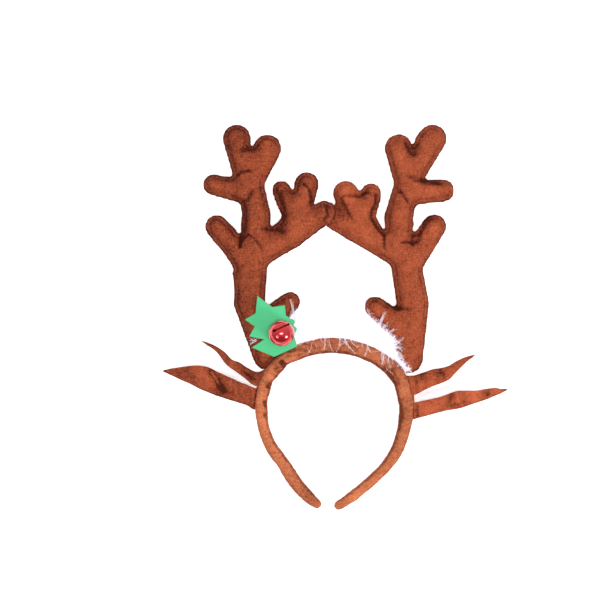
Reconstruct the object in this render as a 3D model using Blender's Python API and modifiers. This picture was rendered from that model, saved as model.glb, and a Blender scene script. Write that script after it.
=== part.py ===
"""Reindeer antler headband: a padded plush hoop that carries two stuffed antlers, two folded
ears, a foam holly leaf with a round jingle bell, and a marabou trim along its crown.

The headband lies on its back. +Z is its front, +Y runs up the antlers, and +X is to the
right as its front is seen. All lengths are in metres and all angles in degrees.
"""

import math
import random

import bmesh
import bpy
import numpy as np
from mathutils import Matrix, Vector

# Hoop: a stiff hoop inside a padded plush sleeve, open between its two tips
hoop_width = 0.1142            # middle of the sleeve, across its widest place
hoop_lean = -3.5               # how far the hoop is turned in its own plane
sleeve_thickness = 0.0124      # measured from inside the hoop to outside
sleeve_depth = 0.0160          # measured from back to front
sleeve_step = 0.0050           # distance between the sleeve's sections
piece_gap = 0.0003             # clearance between two pieces that are sewn or glued together

# Antlers: two stuffed plush shapes, each with a flat sewn flange round its outline
antler_height = 0.1960
stem_width = 0.0244
antler_puff = 0.62             # thickness of a tine as a share of its width
flange_width = 0.0026
flange_thickness = 0.0030
sewn_thickness = 0.55          # thickness left where an antler is sewn down, as a share
sewn_height = 0.045            # height over which an antler fills out
antler_flat = 0.0006           # how much its own weight flattens its back
antler_mesh = 0.0011           # size of the faces that melt the tines into one form
soften_passes = 8              # rounds of smoothing, which round off the creases between tines
antler_face_share = 0.046      # share of those faces that is kept

# Ears: a plush leaf folded round a white lining, open to the front
ear_length = 0.0755
ear_width = 0.0378
ear_depth = 0.0155
ear_plush = 0.0016
ear_lining = 0.0012
ear_gap = 0.0006               # between the two layers
lining_start = 0.04            # share of an ear's length where its lining starts
ear_lift_end = 0.45            # share of an ear's length where its back comes down to the floor

# Holly leaf and bell on the foot of the left antler
leaf_length = 0.0488
leaf_thickness = 0.0026
leaf_slope = 3.0               # how far the leaf leans back to the sleeve
bell_diameter = 0.0200
bell_wall = 0.0008
bell_tilt = 25.0               # how far the bell's front is turned up, away from the sleeve
bell_slot_length = 0.0120
bell_slot_width = 0.0014
bell_slot_hole = 0.0030
bell_slot_turn = 24.0          # how far the slot rises to the right
bell_rim = 0.0005
shank_diameter = 0.0030
pea_diameter = 0.0060
bell_rings = 12                # an even number, so that the rim lies on one of them
bell_sides = 20
bell_offset = (0.165, -0.113)  # from the leaf's middle, as shares of the leaf's length

# Marabou trim along the crown, between the antlers
trim_core = 0.0064             # diameter of the strip that carries the down
trim_height = 0.0280           # length of the longest lock
trim_margin = 0.0040           # distance between the strip's ends and the antlers' feet
trim_sides = 8
lock_step = 0.0042             # distance between rows of locks along the strip
lock_tip = 0.30                # width of a lock's end, as a share of its middle
lock_bend = 0.45               # where a lock bends, as a share of its length
lock_droop = 0.10              # how far a lock's end leans forward, as a share of its length
lock_spread = 0.22             # how far locks lean at random
lock_shortest = 0.55           # shortest lock before any is cut back
lock_facing = 0.25             # a face grows a lock where it faces outwards at least this much
lock_trials = (1.0, 0.8, 0.6, 0.45, 0.3)  # shares of its length that a lock tries in turn
lock_clearance = 0.0012
lock_seed = 7

# Arcs of one half of the hoop, from the crown down: radius as a share of half the hoop's
# width, and how far each turns
hoop_arcs = (
    # name, radius, turn
    ("crown", 1.214, 33.0),
    ("shoulder", 0.745, 57.0),
    ("side", 1.310, 30.0),
    ("arm", 2.200, 26.0),
)

# Sleeve sections from the left tip round to the right tip, as shares of the sleeve's length,
# thickness and depth
sleeve_sections = (
    # along, thickness, depth
    (0.000, 0.62, 0.72),
    (0.030, 0.80, 0.86),
    (0.100, 0.93, 0.94),
    (0.200, 0.74, 0.94),
    (0.300, 0.92, 0.98),
    (0.400, 1.00, 1.00),
    (0.600, 1.00, 1.00),
    (0.700, 1.07, 1.00),
    (0.800, 0.82, 0.96),
    (0.880, 0.70, 0.94),
    (0.970, 0.68, 0.86),
    (1.000, 0.58, 0.72),
)

# Gathers where the sleeve is drawn in by its seam: place along the sleeve, then depth and
# length as shares of its thickness. The side is -1 inside the hoop and 1 outside it.
sleeve_gathers = (
    # along, side, depth, length
    (0.120, 1, 0.06, 0.60),
    (0.216, -1, 0.06, 0.60),
    (0.269, -1, 0.09, 0.55),
    (0.316, -1, 0.13, 0.55),
    (0.350, 1, 0.04, 0.60),
    (0.379, -1, 0.17, 0.60),
    (0.430, -1, 0.04, 0.60),
    (0.590, -1, 0.04, 0.60),
    (0.664, -1, 0.07, 0.60),
    (0.729, -1, 0.05, 0.60),
)

# Antlers: place of each foot as a share of the sleeve's length, and the side that its inner
# branch leans to
antler_feet = {
    # name: (along the sleeve, inner side)
    "antler_left": (0.335, 1),
    "antler_right": (0.664, -1),
}

# Tines of each antler. Places are shares of the antler's height, from its foot, with x towards
# the other antler. Radii and rises to the front are shares of the stem's width.
tines = {
    "antler_left": (
        # name, x, y, radius, rise, then the same at the tip
        ("heel", -0.020, 0.064, 0.46, 0.0, -0.088, 0.281, 0.55, 0.0),
        ("stem", -0.088, 0.281, 0.55, 0.0, -0.060, 0.635, 0.51, 0.0),
        ("neck", -0.060, 0.635, 0.51, 0.0, -0.080, 0.751, 0.45, 0.0),
        ("crown_outer", -0.100, 0.807, 0.49, 0.0, -0.139, 0.942, 0.49, 0.0),
        ("crown_inner", -0.076, 0.775, 0.44, 0.0, -0.016, 0.902, 0.49, 0.0),
        ("crown_palm", -0.085, 0.770, 0.46, 0.0, -0.079, 0.850, 0.46, 0.0),
        ("side_upper", -0.112, 0.729, 0.43, 0.0, -0.232, 0.756, 0.37, 0.0),
        ("side_lower", -0.104, 0.462, 0.47, 0.0, -0.219, 0.588, 0.41, 0.0),
        ("branch", -0.036, 0.494, 0.54, 0.0, 0.084, 0.574, 0.50, 0.22),
        ("branch_palm", 0.060, 0.560, 0.48, 0.16, 0.120, 0.640, 0.50, 0.26),
        ("branch_near", 0.088, 0.639, 0.42, 0.20, 0.042, 0.733, 0.34, 0.16),
        ("branch_mid", 0.112, 0.635, 0.42, 0.24, 0.142, 0.756, 0.43, 0.30),
        ("branch_far", 0.076, 0.554, 0.46, 0.20, 0.213, 0.643, 0.42, 0.46),
        ("bud", -0.020, 0.205, 0.45, 0.0, 0.076, 0.285, 0.36, 0.0),
    ),
    "antler_right": (
        ("heel", -0.034, 0.088, 0.52, 0.0, -0.052, 0.309, 0.57, 0.0),
        ("stem", -0.052, 0.309, 0.57, 0.0, 0.006, 0.651, 0.51, 0.0),
        ("neck", 0.006, 0.651, 0.51, 0.0, -0.024, 0.771, 0.45, 0.0),
        ("crown_outer", -0.050, 0.835, 0.47, 0.0, -0.132, 0.972, 0.49, 0.0),
        ("crown_inner", -0.026, 0.811, 0.46, 0.0, 0.004, 0.932, 0.50, 0.0),
        ("crown_palm", -0.036, 0.790, 0.46, 0.0, -0.050, 0.880, 0.46, 0.0),
        ("side_upper", -0.046, 0.755, 0.45, 0.0, -0.173, 0.763, 0.40, 0.0),
        ("side_lower", -0.050, 0.486, 0.47, 0.0, -0.139, 0.620, 0.42, 0.0),
        ("branch", -0.014, 0.510, 0.58, 0.0, 0.127, 0.590, 0.51, -0.03),
        ("branch_palm", 0.110, 0.575, 0.48, -0.03, 0.166, 0.670, 0.50, -0.03),
        ("branch_near", 0.147, 0.655, 0.43, -0.02, 0.116, 0.750, 0.37, 0.0),
        ("branch_mid", 0.179, 0.655, 0.44, -0.03, 0.217, 0.751, 0.46, -0.03),
        ("branch_far", 0.114, 0.578, 0.46, -0.03, 0.259, 0.655, 0.42, -0.05),
        ("bud", 0.010, 0.221, 0.47, 0.0, 0.100, 0.295, 0.38, 0.0),
    ),
}

# Ears: place of each root as a share of the sleeve's length, and the way that it points
ear_roots = {
    # name: (along the sleeve, way)
    "ear_left": (0.292, 163.0),
    "ear_right": (0.704, 9.5),
}

# Sections of each ear, as shares of its length, width and depth. The lower and upper edges
# are its outline, and the rims between them are the edges of the two folded flaps.
ear_sections = {
    "ear_left": (
        # along, lower edge, lower rim, upper rim, upper edge, depth
        (-0.06, -0.38, 0.01, 0.07, 0.32, 0.72),
        (0.21, -0.38, 0.03, 0.25, 0.40, 1.00),
        (0.42, -0.38, 0.06, 0.46, 0.52, 1.00),
        (0.57, -0.35, 0.15, 0.58, 0.65, 0.95),
        (0.70, -0.31, 0.10, 0.62, 0.64, 0.85),
        (0.81, -0.28, 0.00, 0.51, 0.52, 0.70),
        (0.92, -0.25, -0.12, 0.33, 0.34, 0.50),
        (1.00, -0.25, -0.25, -0.11, -0.09, 0.30),
    ),
    "ear_right": (
        (-0.06, -0.44, -0.10, 0.06, 0.42, 0.72),
        (0.21, -0.40, -0.08, 0.19, 0.50, 1.00),
        (0.42, -0.36, 0.01, 0.39, 0.54, 1.00),
        (0.57, -0.32, -0.02, 0.59, 0.68, 0.95),
        (0.70, -0.26, -0.03, 0.69, 0.71, 0.85),
        (0.83, -0.20, -0.06, 0.61, 0.62, 0.70),
        (0.95, -0.14, -0.10, 0.45, 0.46, 0.50),
        (1.02, 0.02, 0.02, 0.20, 0.22, 0.30),
    ),
}

# Outline of the holly leaf, as shares of its length from its middle
leaf_outline = (
    # kind, right, up
    ("point", -0.22, 0.49),
    ("notch", 0.02, 0.31),
    ("point", 0.22, 0.34),
    ("notch", 0.24, 0.17),
    ("point", 0.40, 0.09),
    ("notch", 0.36, 0.02),
    ("point", 0.42, -0.04),
    ("notch", 0.37, -0.15),
    ("point", 0.42, -0.32),
    ("point", 0.05, -0.49),
    ("point", -0.31, -0.34),
    ("notch", -0.11, -0.21),
    ("point", -0.35, -0.16),
    ("notch", -0.26, 0.00),
    ("point", -0.42, 0.11),
    ("notch", -0.25, 0.21),
)


for thing in list(bpy.data.objects):
    bpy.data.objects.remove(thing, do_unlink=True)

parts = bpy.data.collections.new("Reindeer antler headband")
cutters = bpy.data.collections.new("Cutters")
stand = bpy.data.objects.new("stand", None)
for collection in (parts, cutters):
    bpy.context.scene.collection.children.link(collection)
parts.objects.link(stand)

half_length = sum(share * hoop_width / 2 * math.radians(turn) for _, share, turn in hoop_arcs)
hoop_length = 2 * half_length
front = Vector((0.0, 0.0, 1.0))


def make_material(name, colour, roughness, metallic=0.0):
    material = bpy.data.materials.new(name)
    material.use_nodes = True
    shader = material.node_tree.nodes["Principled BSDF"]
    shader.inputs["Base Color"].default_value = (*colour, 1.0)
    shader.inputs["Roughness"].default_value = roughness
    shader.inputs["Metallic"].default_value = metallic
    return material


def add_object(name, mesh, material=None):
    """A part of the headband, or a cutter where it has no material. Both hang on the stand."""
    thing = bpy.data.objects.new(name, mesh)
    thing.parent = stand
    if material:
        mesh.materials.append(material)
        parts.objects.link(thing)
    else:
        cutters.objects.link(thing)
        thing.hide_render = True
        thing.display_type = "WIRE"
    return thing


def finish_mesh(name, shape, smooth=True):
    """The mesh of this bmesh, with its faces pointing out."""
    bmesh.ops.recalc_face_normals(shape, faces=shape.faces)
    mesh = bpy.data.meshes.new(name)
    shape.to_mesh(mesh)
    shape.free()
    if smooth:
        mesh.shade_smooth()
    return mesh


def boolean(thing, other, operation="DIFFERENCE"):
    modifier = thing.modifiers.new(f"{operation.lower()} {other.name}", "BOOLEAN")
    modifier.operation = operation
    modifier.solver = "EXACT"
    modifier.object = other


def ease(share):
    """0 to 1 with a level start and end."""
    share = min(max(share, 0.0), 1.0)
    return share * share * (3 - 2 * share)


def read_table(table, place, column):
    """A column of a table whose first column is the place, eased from row to row."""
    for row, after in zip(table, table[1:]):
        if place <= after[0]:
            share = ease((place - row[0]) / (after[0] - row[0]))
            return row[column] + (after[column] - row[column]) * share
    return table[-1][column]


def loft(rings, closed=True):
    """Solid through rings of equally many points, closed by a flat face over each end."""
    shape = bmesh.new()
    rows = [[shape.verts.new(point) for point in ring] for ring in rings]
    count = len(rows[0])
    for row, after in zip(rows, rows[1:]):
        for i in range(count if closed else count - 1):
            j = (i + 1) % count
            shape.faces.new((row[i], row[j], after[j], after[i]))
    if closed:
        shape.faces.new(rows[0])
        shape.faces.new(rows[-1])
    return shape


# The hoop's middle line


def half_hoop(distance):
    """Place on the right half of the hoop, this far along it from the crown, and its heading."""
    spot = Vector((0.0, 0.0, 0.0))
    heading = 0.0
    for _, share, turn in hoop_arcs:
        radius = share * hoop_width / 2
        turned = min(distance / radius, math.radians(turn))
        centre = spot + radius * Vector((math.sin(heading), -math.cos(heading), 0.0))
        heading -= turned
        spot = centre - radius * Vector((math.sin(heading), -math.cos(heading), 0.0))
        distance -= radius * turned
        if distance <= 0:
            break
    return spot, heading


def crown_rise():
    """Height of the crown above the hoop's widest place."""
    distance = 0.0
    turned = 0.0
    for _, share, turn in hoop_arcs:
        step = min(turn, 90.0 - turned)
        distance += share * hoop_width / 2 * math.radians(max(step, 0.0))
        turned += turn
    return -half_hoop(distance)[0].y


def hoop_at(along):
    """Middle of the sleeve, the way outwards, and the way on along it, from tip to tip."""
    side = 1 if along > 0.5 else -1
    spot, heading = half_hoop(abs(along - 0.5) * hoop_length)
    lean = Matrix.Rotation(math.radians(hoop_lean), 3, "Z")
    middle = lean @ Vector((side * spot.x, spot.y + crown_rise(), sleeve_depth / 2))
    outward = lean @ Vector((side * -math.sin(heading), math.cos(heading), 0.0))
    onward = lean @ Vector((math.cos(heading), side * math.sin(heading), 0.0))
    return middle, outward, onward


# Sleeve

sleeve_sides = 12
sleeve_roundness = 2.5         # power of its oval section, where 2 is an ellipse
tip_turns = (0.88, 0.52)       # sizes of the rings that round off each tip


def gathered(along, across):
    """How far the gathers draw the sleeve in here, as a share of its thickness."""
    drawn = 0.0
    for place, side, depth, length in sleeve_gathers:
        away = (along - place) * hoop_length / (length * sleeve_thickness / 2)
        drawn += depth * math.exp(-away * away) * max(side * across, 0.0)
    return drawn


def sleeve_ring(along, grow=0.0, size=1.0, shift=0.0):
    middle, outward, onward = hoop_at(along)
    thickness = sleeve_thickness * read_table(sleeve_sections, along, 1)
    depth = sleeve_depth * read_table(sleeve_sections, along, 2)
    power = 2 / sleeve_roundness
    ring = []
    for step in range(sleeve_sides):
        angle = 2 * math.pi * step / sleeve_sides
        across = math.copysign(abs(math.cos(angle)) ** power, math.cos(angle))
        forward = math.copysign(abs(math.sin(angle)) ** power, math.sin(angle))
        reach = (thickness / 2 * (1 - 2 * gathered(along, across)) + grow) * size * across
        rise = (depth / 2 + grow) * size * forward
        ring.append(middle + outward * reach + front * rise + onward * shift)
    return ring


def sleeve_shape(grow=0.0):
    """The whole sleeve, from its left tip to its right tip. A cutter's is grown all round."""
    count = math.ceil(hoop_length / sleeve_step)
    end = sleeve_thickness * sleeve_sections[0][1] / 2 + grow
    rings = [sleeve_ring(step / count, grow) for step in range(count + 1)]
    for size in tip_turns:
        shift = end * math.sqrt(1 - size * size)
        rings.insert(0, sleeve_ring(0.0, grow, size, -shift))
        rings.append(sleeve_ring(1.0, grow, size, shift))
    return loft(rings)


def make_headband(plush):
    add_object("headband", finish_mesh("headband", sleeve_shape()), plush)
    return add_object("sleeve_cutter", finish_mesh("sleeve_cutter", sleeve_shape(piece_gap)))


# Antlers

ball_sides = 18
ball_rings = 9                 # an odd number, so that no ring lies at the ball's middle
antler_middle = stem_width * antler_puff / 2 - antler_flat


def antler_foot(name):
    along, inner = antler_feet[name]
    foot = hoop_at(along)[0]
    return Vector((foot.x, foot.y, 0.0)), inner


def fullness(height):
    """Share of its thickness that an antler has at this height above its foot."""
    return sewn_thickness + (1 - sewn_thickness) * ease(height / sewn_height)


def tine_ends(name, row):
    """Middle, radius and half thickness of both ends of a tine."""
    foot, inner = antler_foot(name)
    for x, y, radius, rise in (row[1:5], row[5:9]):
        height = y * antler_height
        middle = foot + Vector((inner * x * antler_height, height, 0.0))
        middle.z = antler_middle + rise * stem_width
        reach = radius * stem_width
        yield middle, reach, reach * antler_puff * fullness(height)


def add_capsule(shape, ends):
    """A ball stretched from one end to the other; each has a place, a reach and a thickness."""
    (start, *_), (tip, *_) = ends
    along = Vector((tip.x - start.x, tip.y - start.y, 0.0)).normalized()
    across = Vector((-along.y, along.x, 0.0))
    ball = bmesh.ops.create_uvsphere(
        shape, u_segments=ball_sides, v_segments=ball_rings, radius=1.0
    )
    for vert in ball["verts"]:
        middle, reach, thick = ends[1] if vert.co.z > 0 else ends[0]
        flat = along * vert.co.z + across * vert.co.x
        vert.co = middle + reach * flat + thick * vert.co.y * front


def make_antler(name, plush, floor_cutter, sleeve_cutter):
    shape = bmesh.new()
    for row in tines[name]:
        ends = list(tine_ends(name, row))
        add_capsule(shape, [(at, reach - flange_width, thick) for at, reach, thick in ends])
        add_capsule(shape, [(at, reach, flange_thickness / 2) for at, reach, _ in ends])
    antler = add_object(name, finish_mesh(name, shape), plush)
    melt = antler.modifiers.new("melt the tines together", "REMESH")
    melt.mode = "VOXEL"
    melt.voxel_size = antler_mesh
    melt.use_smooth_shade = True
    soften = antler.modifiers.new("soften", "SMOOTH")
    soften.factor = 0.5
    soften.iterations = soften_passes
    thin_out = antler.modifiers.new("fewer faces", "DECIMATE")
    thin_out.ratio = antler_face_share
    boolean(antler, floor_cutter)
    boolean(antler, sleeve_cutter)
    return antler


def make_floor_cutter():
    """A block whose top is the surface that the headband lies on."""
    shape = bmesh.new()
    bmesh.ops.create_cube(shape, size=1.0)
    size = 2 * (antler_height + hoop_width)
    for vert in shape.verts:
        vert.co = Vector((vert.co.x, vert.co.y, vert.co.z - 0.5)) * size
    return add_object("floor_cutter", finish_mesh("floor_cutter", shape, smooth=False))


# Ears

ear_stations = 10
ear_points = 11


def ear_frame(name):
    """Root of an ear at the sleeve's outer side, its way out, and the way up across it."""
    along, way = ear_roots[name]
    middle, outward, _ = hoop_at(along)
    root = middle + outward * sleeve_thickness / 2
    angle = math.radians(way)
    out = Vector((math.cos(angle), math.sin(angle), 0.0))
    up = Vector((-out.y, out.x, 0.0))
    return Vector((root.x, root.y, 0.0)), out, up if up.y > 0 else -up


def ear_curve(name, along, trim):
    """Points across an ear, between its layers, from its upper rim round to its lower rim."""
    root, out, up = ear_frame(name)
    low, low_rim, high_rim, high, deep = (
        read_table(ear_sections[name], along, column) for column in range(1, 6)
    )
    middle = (low + high) / 2 * ear_width
    reach = (high - low) / 2 * ear_width
    thick = deep * ear_depth / 2
    first = math.acos(min(max((high_rim * ear_width - middle) / reach, -1.0), 1.0))
    last = math.acos(min(max((low_rim * ear_width - middle) / reach, -1.0), 1.0))
    turns = np.linspace(first, last - 2 * math.pi, ear_points)
    turns[0] -= trim / reach
    turns[-1] += trim / reach
    centre = thick + (sleeve_depth / 2 - thick) * (1 - ease(along / ear_lift_end))
    curve = []
    for angle in turns:
        across = middle + (reach - ear_plush) * math.cos(angle)
        rise = centre + (thick - ear_plush) * math.sin(angle)
        curve.append(root + out * along * ear_length + up * across + front * rise)
    return curve


def ear_surface(name, trim, start, short):
    """The open sheet between an ear's layers, facing outwards, trimmed at its rims and ends."""
    places = np.linspace(ear_sections[name][0][0], ear_sections[name][-1][0], ear_stations)
    places[0] = max(places[0], start)
    places[-1] -= short
    shape = loft([ear_curve(name, along, trim) for along in places], closed=False)
    shape.normal_update()
    back = min(shape.faces, key=lambda face: face.calc_center_median().z)
    if back.normal.z > 0:
        bmesh.ops.reverse_faces(shape, faces=shape.faces)
    mesh = bpy.data.meshes.new(name)
    shape.to_mesh(mesh)
    shape.free()
    mesh.shade_smooth()
    return mesh


def add_ear_layer(name, mesh, material, wall, side):
    """Give the sheet its wall, outwards where side is 1 and inwards where it is -1."""
    layer = add_object(name, mesh, material)
    if side < 0:
        apart = layer.modifiers.new("gap between the layers", "DISPLACE")
        apart.mid_level = 0.0
        apart.strength = -ear_gap
    thicken = layer.modifiers.new("thickness of the cloth", "SOLIDIFY")
    thicken.thickness = wall
    thicken.offset = side
    return layer


def make_ear(name, plush, satin, sleeve_cutter):
    outer = ear_surface(name, 0.0, ear_sections[name][0][0], 0.0)
    outer = add_ear_layer(f"{name}_outer", outer, plush, ear_plush, 1)
    boolean(outer, sleeve_cutter)
    inner = ear_surface(name, ear_lining, lining_start, ear_lining / ear_length)
    add_ear_layer(f"{name}_lining", inner, satin, ear_lining, -1)


# Holly leaf and bell

leaf_places = 24               # places along the leaf where it is tried against the antler
bar_sides = 16
pea_sides = 12
pea_rings = 8
merge_distance = 0.00001


def antler_face(height):
    """How far forward the front of an antler's foot reaches at this height above it."""
    thick = stem_width / 2 * antler_puff * fullness(height)
    return antler_middle + thick


def leaf_frame():
    """Middle of the leaf's back and its slope, resting on the front of the left antler's foot."""
    foot, _ = antler_foot("antler_left")
    height = sleeve_thickness + leaf_length / 2
    rise = math.tan(math.radians(leaf_slope))
    span = [height + leaf_length * (step / leaf_places - 0.5) for step in range(leaf_places + 1)]
    rest = max(antler_face(at) - rise * (at - height) for at in span)
    return foot + Vector((0.0, height, rest + piece_gap))


def make_leaf(foam, sleeve_cutter):
    curve = bpy.data.curves.new("holly_leaf", "CURVE")
    curve.dimensions = "2D"
    curve.fill_mode = "BOTH"
    curve.extrude = leaf_thickness / 2
    line = curve.splines.new("POLY")
    line.points.add(len(leaf_outline) - 1)
    line.use_cyclic_u = True
    for point, (_, right, up) in zip(line.points, leaf_outline):
        point.co = (right * leaf_length, up * leaf_length, leaf_thickness / 2, 1.0)
    drawn = bpy.data.objects.new("leaf_curve", curve)
    parts.objects.link(drawn)
    graph = bpy.context.evaluated_depsgraph_get()
    mesh = bpy.data.meshes.new_from_object(drawn.evaluated_get(graph))
    bpy.data.objects.remove(drawn, do_unlink=True)
    shape = bmesh.new()
    shape.from_mesh(mesh)
    bmesh.ops.remove_doubles(shape, verts=shape.verts, dist=merge_distance)
    bpy.data.meshes.remove(mesh)
    leaf = add_object("holly_leaf", finish_mesh("holly_leaf", shape, smooth=False), foam)
    leaf.location = leaf_frame()
    leaf.rotation_euler.x = math.radians(leaf_slope)
    boolean(leaf, sleeve_cutter)
    return leaf


def cylinder(name, diameter, bottom, top, turn):
    """A round bar along the leaf's own way forward, between two heights."""
    shape = bmesh.new()
    bmesh.ops.create_cone(
        shape, cap_ends=True, segments=bar_sides, radius1=diameter / 2, radius2=diameter / 2,
        depth=top - bottom, matrix=Matrix.Translation((0.0, 0.0, (top + bottom) / 2))
    )
    bar = add_object(name, finish_mesh(name, shape))
    bar.matrix_local = turn
    return bar


def bell_place():
    """Matrix of the bell's middle, with the leaf's slope."""
    right, up = bell_offset
    rise = leaf_thickness + piece_gap + bell_diameter / 2
    slope = Matrix.Rotation(math.radians(leaf_slope), 4, "X")
    inside = Matrix.Translation((right * leaf_length, up * leaf_length, rise))
    return Matrix.Translation(leaf_frame()) @ slope @ inside


def bell_profile():
    """Outline of the bell from its front pole to its back, with a raised rim at the middle."""
    radius = bell_diameter / 2 - bell_rim
    points = []
    for step in range(bell_rings + 1):
        angle = math.pi * step / bell_rings
        reach = radius + (bell_rim if step == bell_rings / 2 else 0.0)
        points.append((reach * math.sin(angle), 0.0, reach * math.cos(angle)))
    return points


def make_slot_cutters(place):
    """A narrow slot over the bell's front with a round hole at each end."""
    reach = bell_slot_length / 2
    shape = bmesh.new()
    bmesh.ops.create_cube(shape, size=1.0)
    for vert in shape.verts:
        vert.co.x *= bell_slot_length
        vert.co.y *= bell_slot_width
        vert.co.z = (vert.co.z + 0.5) * bell_diameter
    slot = add_object("slot_cutter", finish_mesh("slot_cutter", shape, smooth=False))
    slot.matrix_local = place
    left_end = place @ Matrix.Translation((-reach, 0.0, 0.0))
    right_end = place @ Matrix.Translation((reach, 0.0, 0.0))
    left_hole = cylinder("slot_hole_left", bell_slot_hole, 0.0, bell_diameter, left_end)
    right_hole = cylinder("slot_hole_right", bell_slot_hole, 0.0, bell_diameter, right_end)
    return slot, left_hole, right_hole


def make_bell(red, steel, leaf):
    place = bell_place()
    tilt = Matrix.Rotation(math.radians(-bell_tilt), 4, "X")
    turn = Matrix.Rotation(math.radians(bell_slot_turn), 4, "Z")
    mesh = bpy.data.meshes.new("jingle_bell")
    points = bell_profile()
    mesh.from_pydata(points, [(i, i + 1) for i in range(len(points) - 1)], [])
    bell = add_object("jingle_bell", mesh, red)
    bell.matrix_local = place @ tilt @ turn
    spin = bell.modifiers.new("turned shell", "SCREW")
    spin.steps = bell_sides
    spin.render_steps = bell_sides
    spin.use_merge_vertices = True
    spin.merge_threshold = merge_distance
    wall = bell.modifiers.new("sheet metal", "SOLIDIFY")
    wall.thickness = bell_wall
    wall.offset = -1.0
    for cutter in make_slot_cutters(place @ tilt @ turn):
        boolean(bell, cutter)
    back = -(bell_diameter / 2 + piece_gap + leaf_thickness)
    top = -(bell_diameter / 2 - bell_rim - bell_wall / 2)
    shank = cylinder("shank_form", shank_diameter, back, top, place)
    boolean(bell, shank, "UNION")
    bore = shank_diameter + 2 * piece_gap
    boolean(leaf, cylinder("shank_cutter", bore, 2 * back, top, place))
    make_pea(steel, place)


def make_pea(steel, place):
    """The loose ball in the bell, lying on the inside of its wall."""
    drop = bell_diameter / 2 - bell_rim - bell_wall - piece_gap - pea_diameter / 2
    shape = bmesh.new()
    bmesh.ops.create_uvsphere(
        shape, u_segments=pea_sides, v_segments=pea_rings, radius=pea_diameter / 2
    )
    pea = add_object("bell_pea", finish_mesh("bell_pea", shape), steel)
    pea.location = place.to_translation() - front * drop


# Marabou trim


def obstacles():
    """Capsules that the locks of down stay clear of: both ends and a radius."""
    for name, rows in tines.items():
        for row in rows:
            (start, reach, _), (tip, tip_reach, _) = tine_ends(name, row)
            yield start, tip, max(reach, tip_reach)
    leaf = leaf_frame()
    yield leaf, leaf, leaf_length / 2
    bell = bell_place().to_translation()
    yield bell, bell, bell_diameter / 2


def is_clear(point, solids):
    """Whether a lock's point is off the floor and clear of every other piece."""
    if point.z < lock_clearance:
        return False
    for start, tip, reach in solids:
        line = tip - start
        share = (point - start).dot(line) / line.length_squared if line.length else 0.0
        near = start + line * min(max(share, 0.0), 1.0)
        if (point - near).length < reach + lock_clearance:
            return False
    return True


def lock_path(face, length, lean):
    """Middle and end of a lock that grows from this face of the strip."""
    root = face.calc_center_median()
    way = face.normal + lean
    return root + way * length * lock_bend, root + way * length + front * length * lock_droop


def grow_lock(shape, face, outward, dice, solids):
    """Draw one face out into a tapered lock, as long as it has room."""
    facing = face.normal.dot(outward)
    if facing < lock_facing:
        return
    lean = Vector([dice.uniform(-lock_spread, lock_spread) for _ in range(3)])
    whole = trim_height * facing * dice.uniform(lock_shortest, 1.0)
    for share in lock_trials:
        path = lock_path(face, whole * share, lean)
        if all(is_clear(point, solids) for point in path):
            break
    else:
        return
    for point, size in zip(path, (1 - lock_bend, lock_tip)):
        face = bmesh.ops.extrude_discrete_faces(shape, faces=[face])["faces"][0]
        middle = face.calc_center_median()
        for vert in face.verts:
            vert.co = point + (vert.co - middle) * size


def trim_ends():
    """Where the strip starts and ends along the sleeve, between the two antlers."""
    aside = (stem_width / 2 + trim_core + trim_margin) / hoop_length
    return antler_feet["antler_left"][0] + aside, antler_feet["antler_right"][0] - aside


def make_trim(down):
    start, end = trim_ends()
    rows = math.ceil((end - start) * hoop_length / lock_step)
    offset = sleeve_thickness / 2 + piece_gap + trim_core / 2
    rings = []
    spines = []
    for row in range(rows + 1):
        middle, outward, _ = hoop_at(start + (end - start) * row / rows)
        middle += outward * offset
        spines.append((middle, outward))
        ring = []
        for step in range(trim_sides):
            angle = 2 * math.pi * (step + 0.5) / trim_sides
            way = outward * math.cos(angle) + front * math.sin(angle)
            ring.append(middle + way * trim_core / 2)
        rings.append(ring)
    shape = loft(rings)
    bmesh.ops.recalc_face_normals(shape, faces=shape.faces)
    shape.normal_update()
    dice = random.Random(lock_seed)
    solids = list(obstacles())
    for face in [face for face in shape.faces if len(face.verts) == 4]:
        centre = face.calc_center_median()
        outward = min(spines, key=lambda spine: (spine[0] - centre).length)[1]
        grow_lock(shape, face, outward, dice, solids)
    add_object("fur_trim", finish_mesh("fur_trim", shape), down)


def stand_on_floor():
    """Move the whole headband so that its box stands on the origin, centred."""
    graph = bpy.context.evaluated_depsgraph_get()
    corners = []
    for thing in parts.objects:
        if thing.type == "MESH":
            mesh = thing.evaluated_get(graph).to_mesh()
            points = np.empty(len(mesh.vertices) * 3, np.float32)
            mesh.vertices.foreach_get("co", points)
            world = np.array(thing.matrix_world)
            points = points.reshape(-1, 3) @ world[:3, :3].T + world[:3, 3]
            corners += [points.min(axis=0), points.max(axis=0)]
    low = np.min(corners, axis=0)
    high = np.max(corners, axis=0)
    stand.location = (-(low[0] + high[0]) / 2, -(low[1] + high[1]) / 2, -low[2])


def main():
    plush = make_material("brown plush", (0.29, 0.075, 0.030), 0.95)
    satin = make_material("white lining", (0.90, 0.90, 0.89), 0.70)
    foam = make_material("green foam", (0.10, 0.62, 0.27), 0.80)
    red = make_material("red lacquer", (0.72, 0.03, 0.05), 0.20, 1.0)
    steel = make_material("steel", (0.45, 0.45, 0.46), 0.35, 1.0)
    down = make_material("white down", (0.92, 0.90, 0.91), 0.90)
    sleeve_cutter = make_headband(plush)
    floor_cutter = make_floor_cutter()
    for name in antler_feet:
        make_antler(name, plush, floor_cutter, sleeve_cutter)
    for name in ear_roots:
        make_ear(name, plush, satin, sleeve_cutter)
    leaf = make_leaf(foam, sleeve_cutter)
    make_bell(red, steel, leaf)
    make_trim(down)
    bpy.context.view_layer.update()
    stand_on_floor()


if __name__ == "__main__":
    main()
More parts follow.
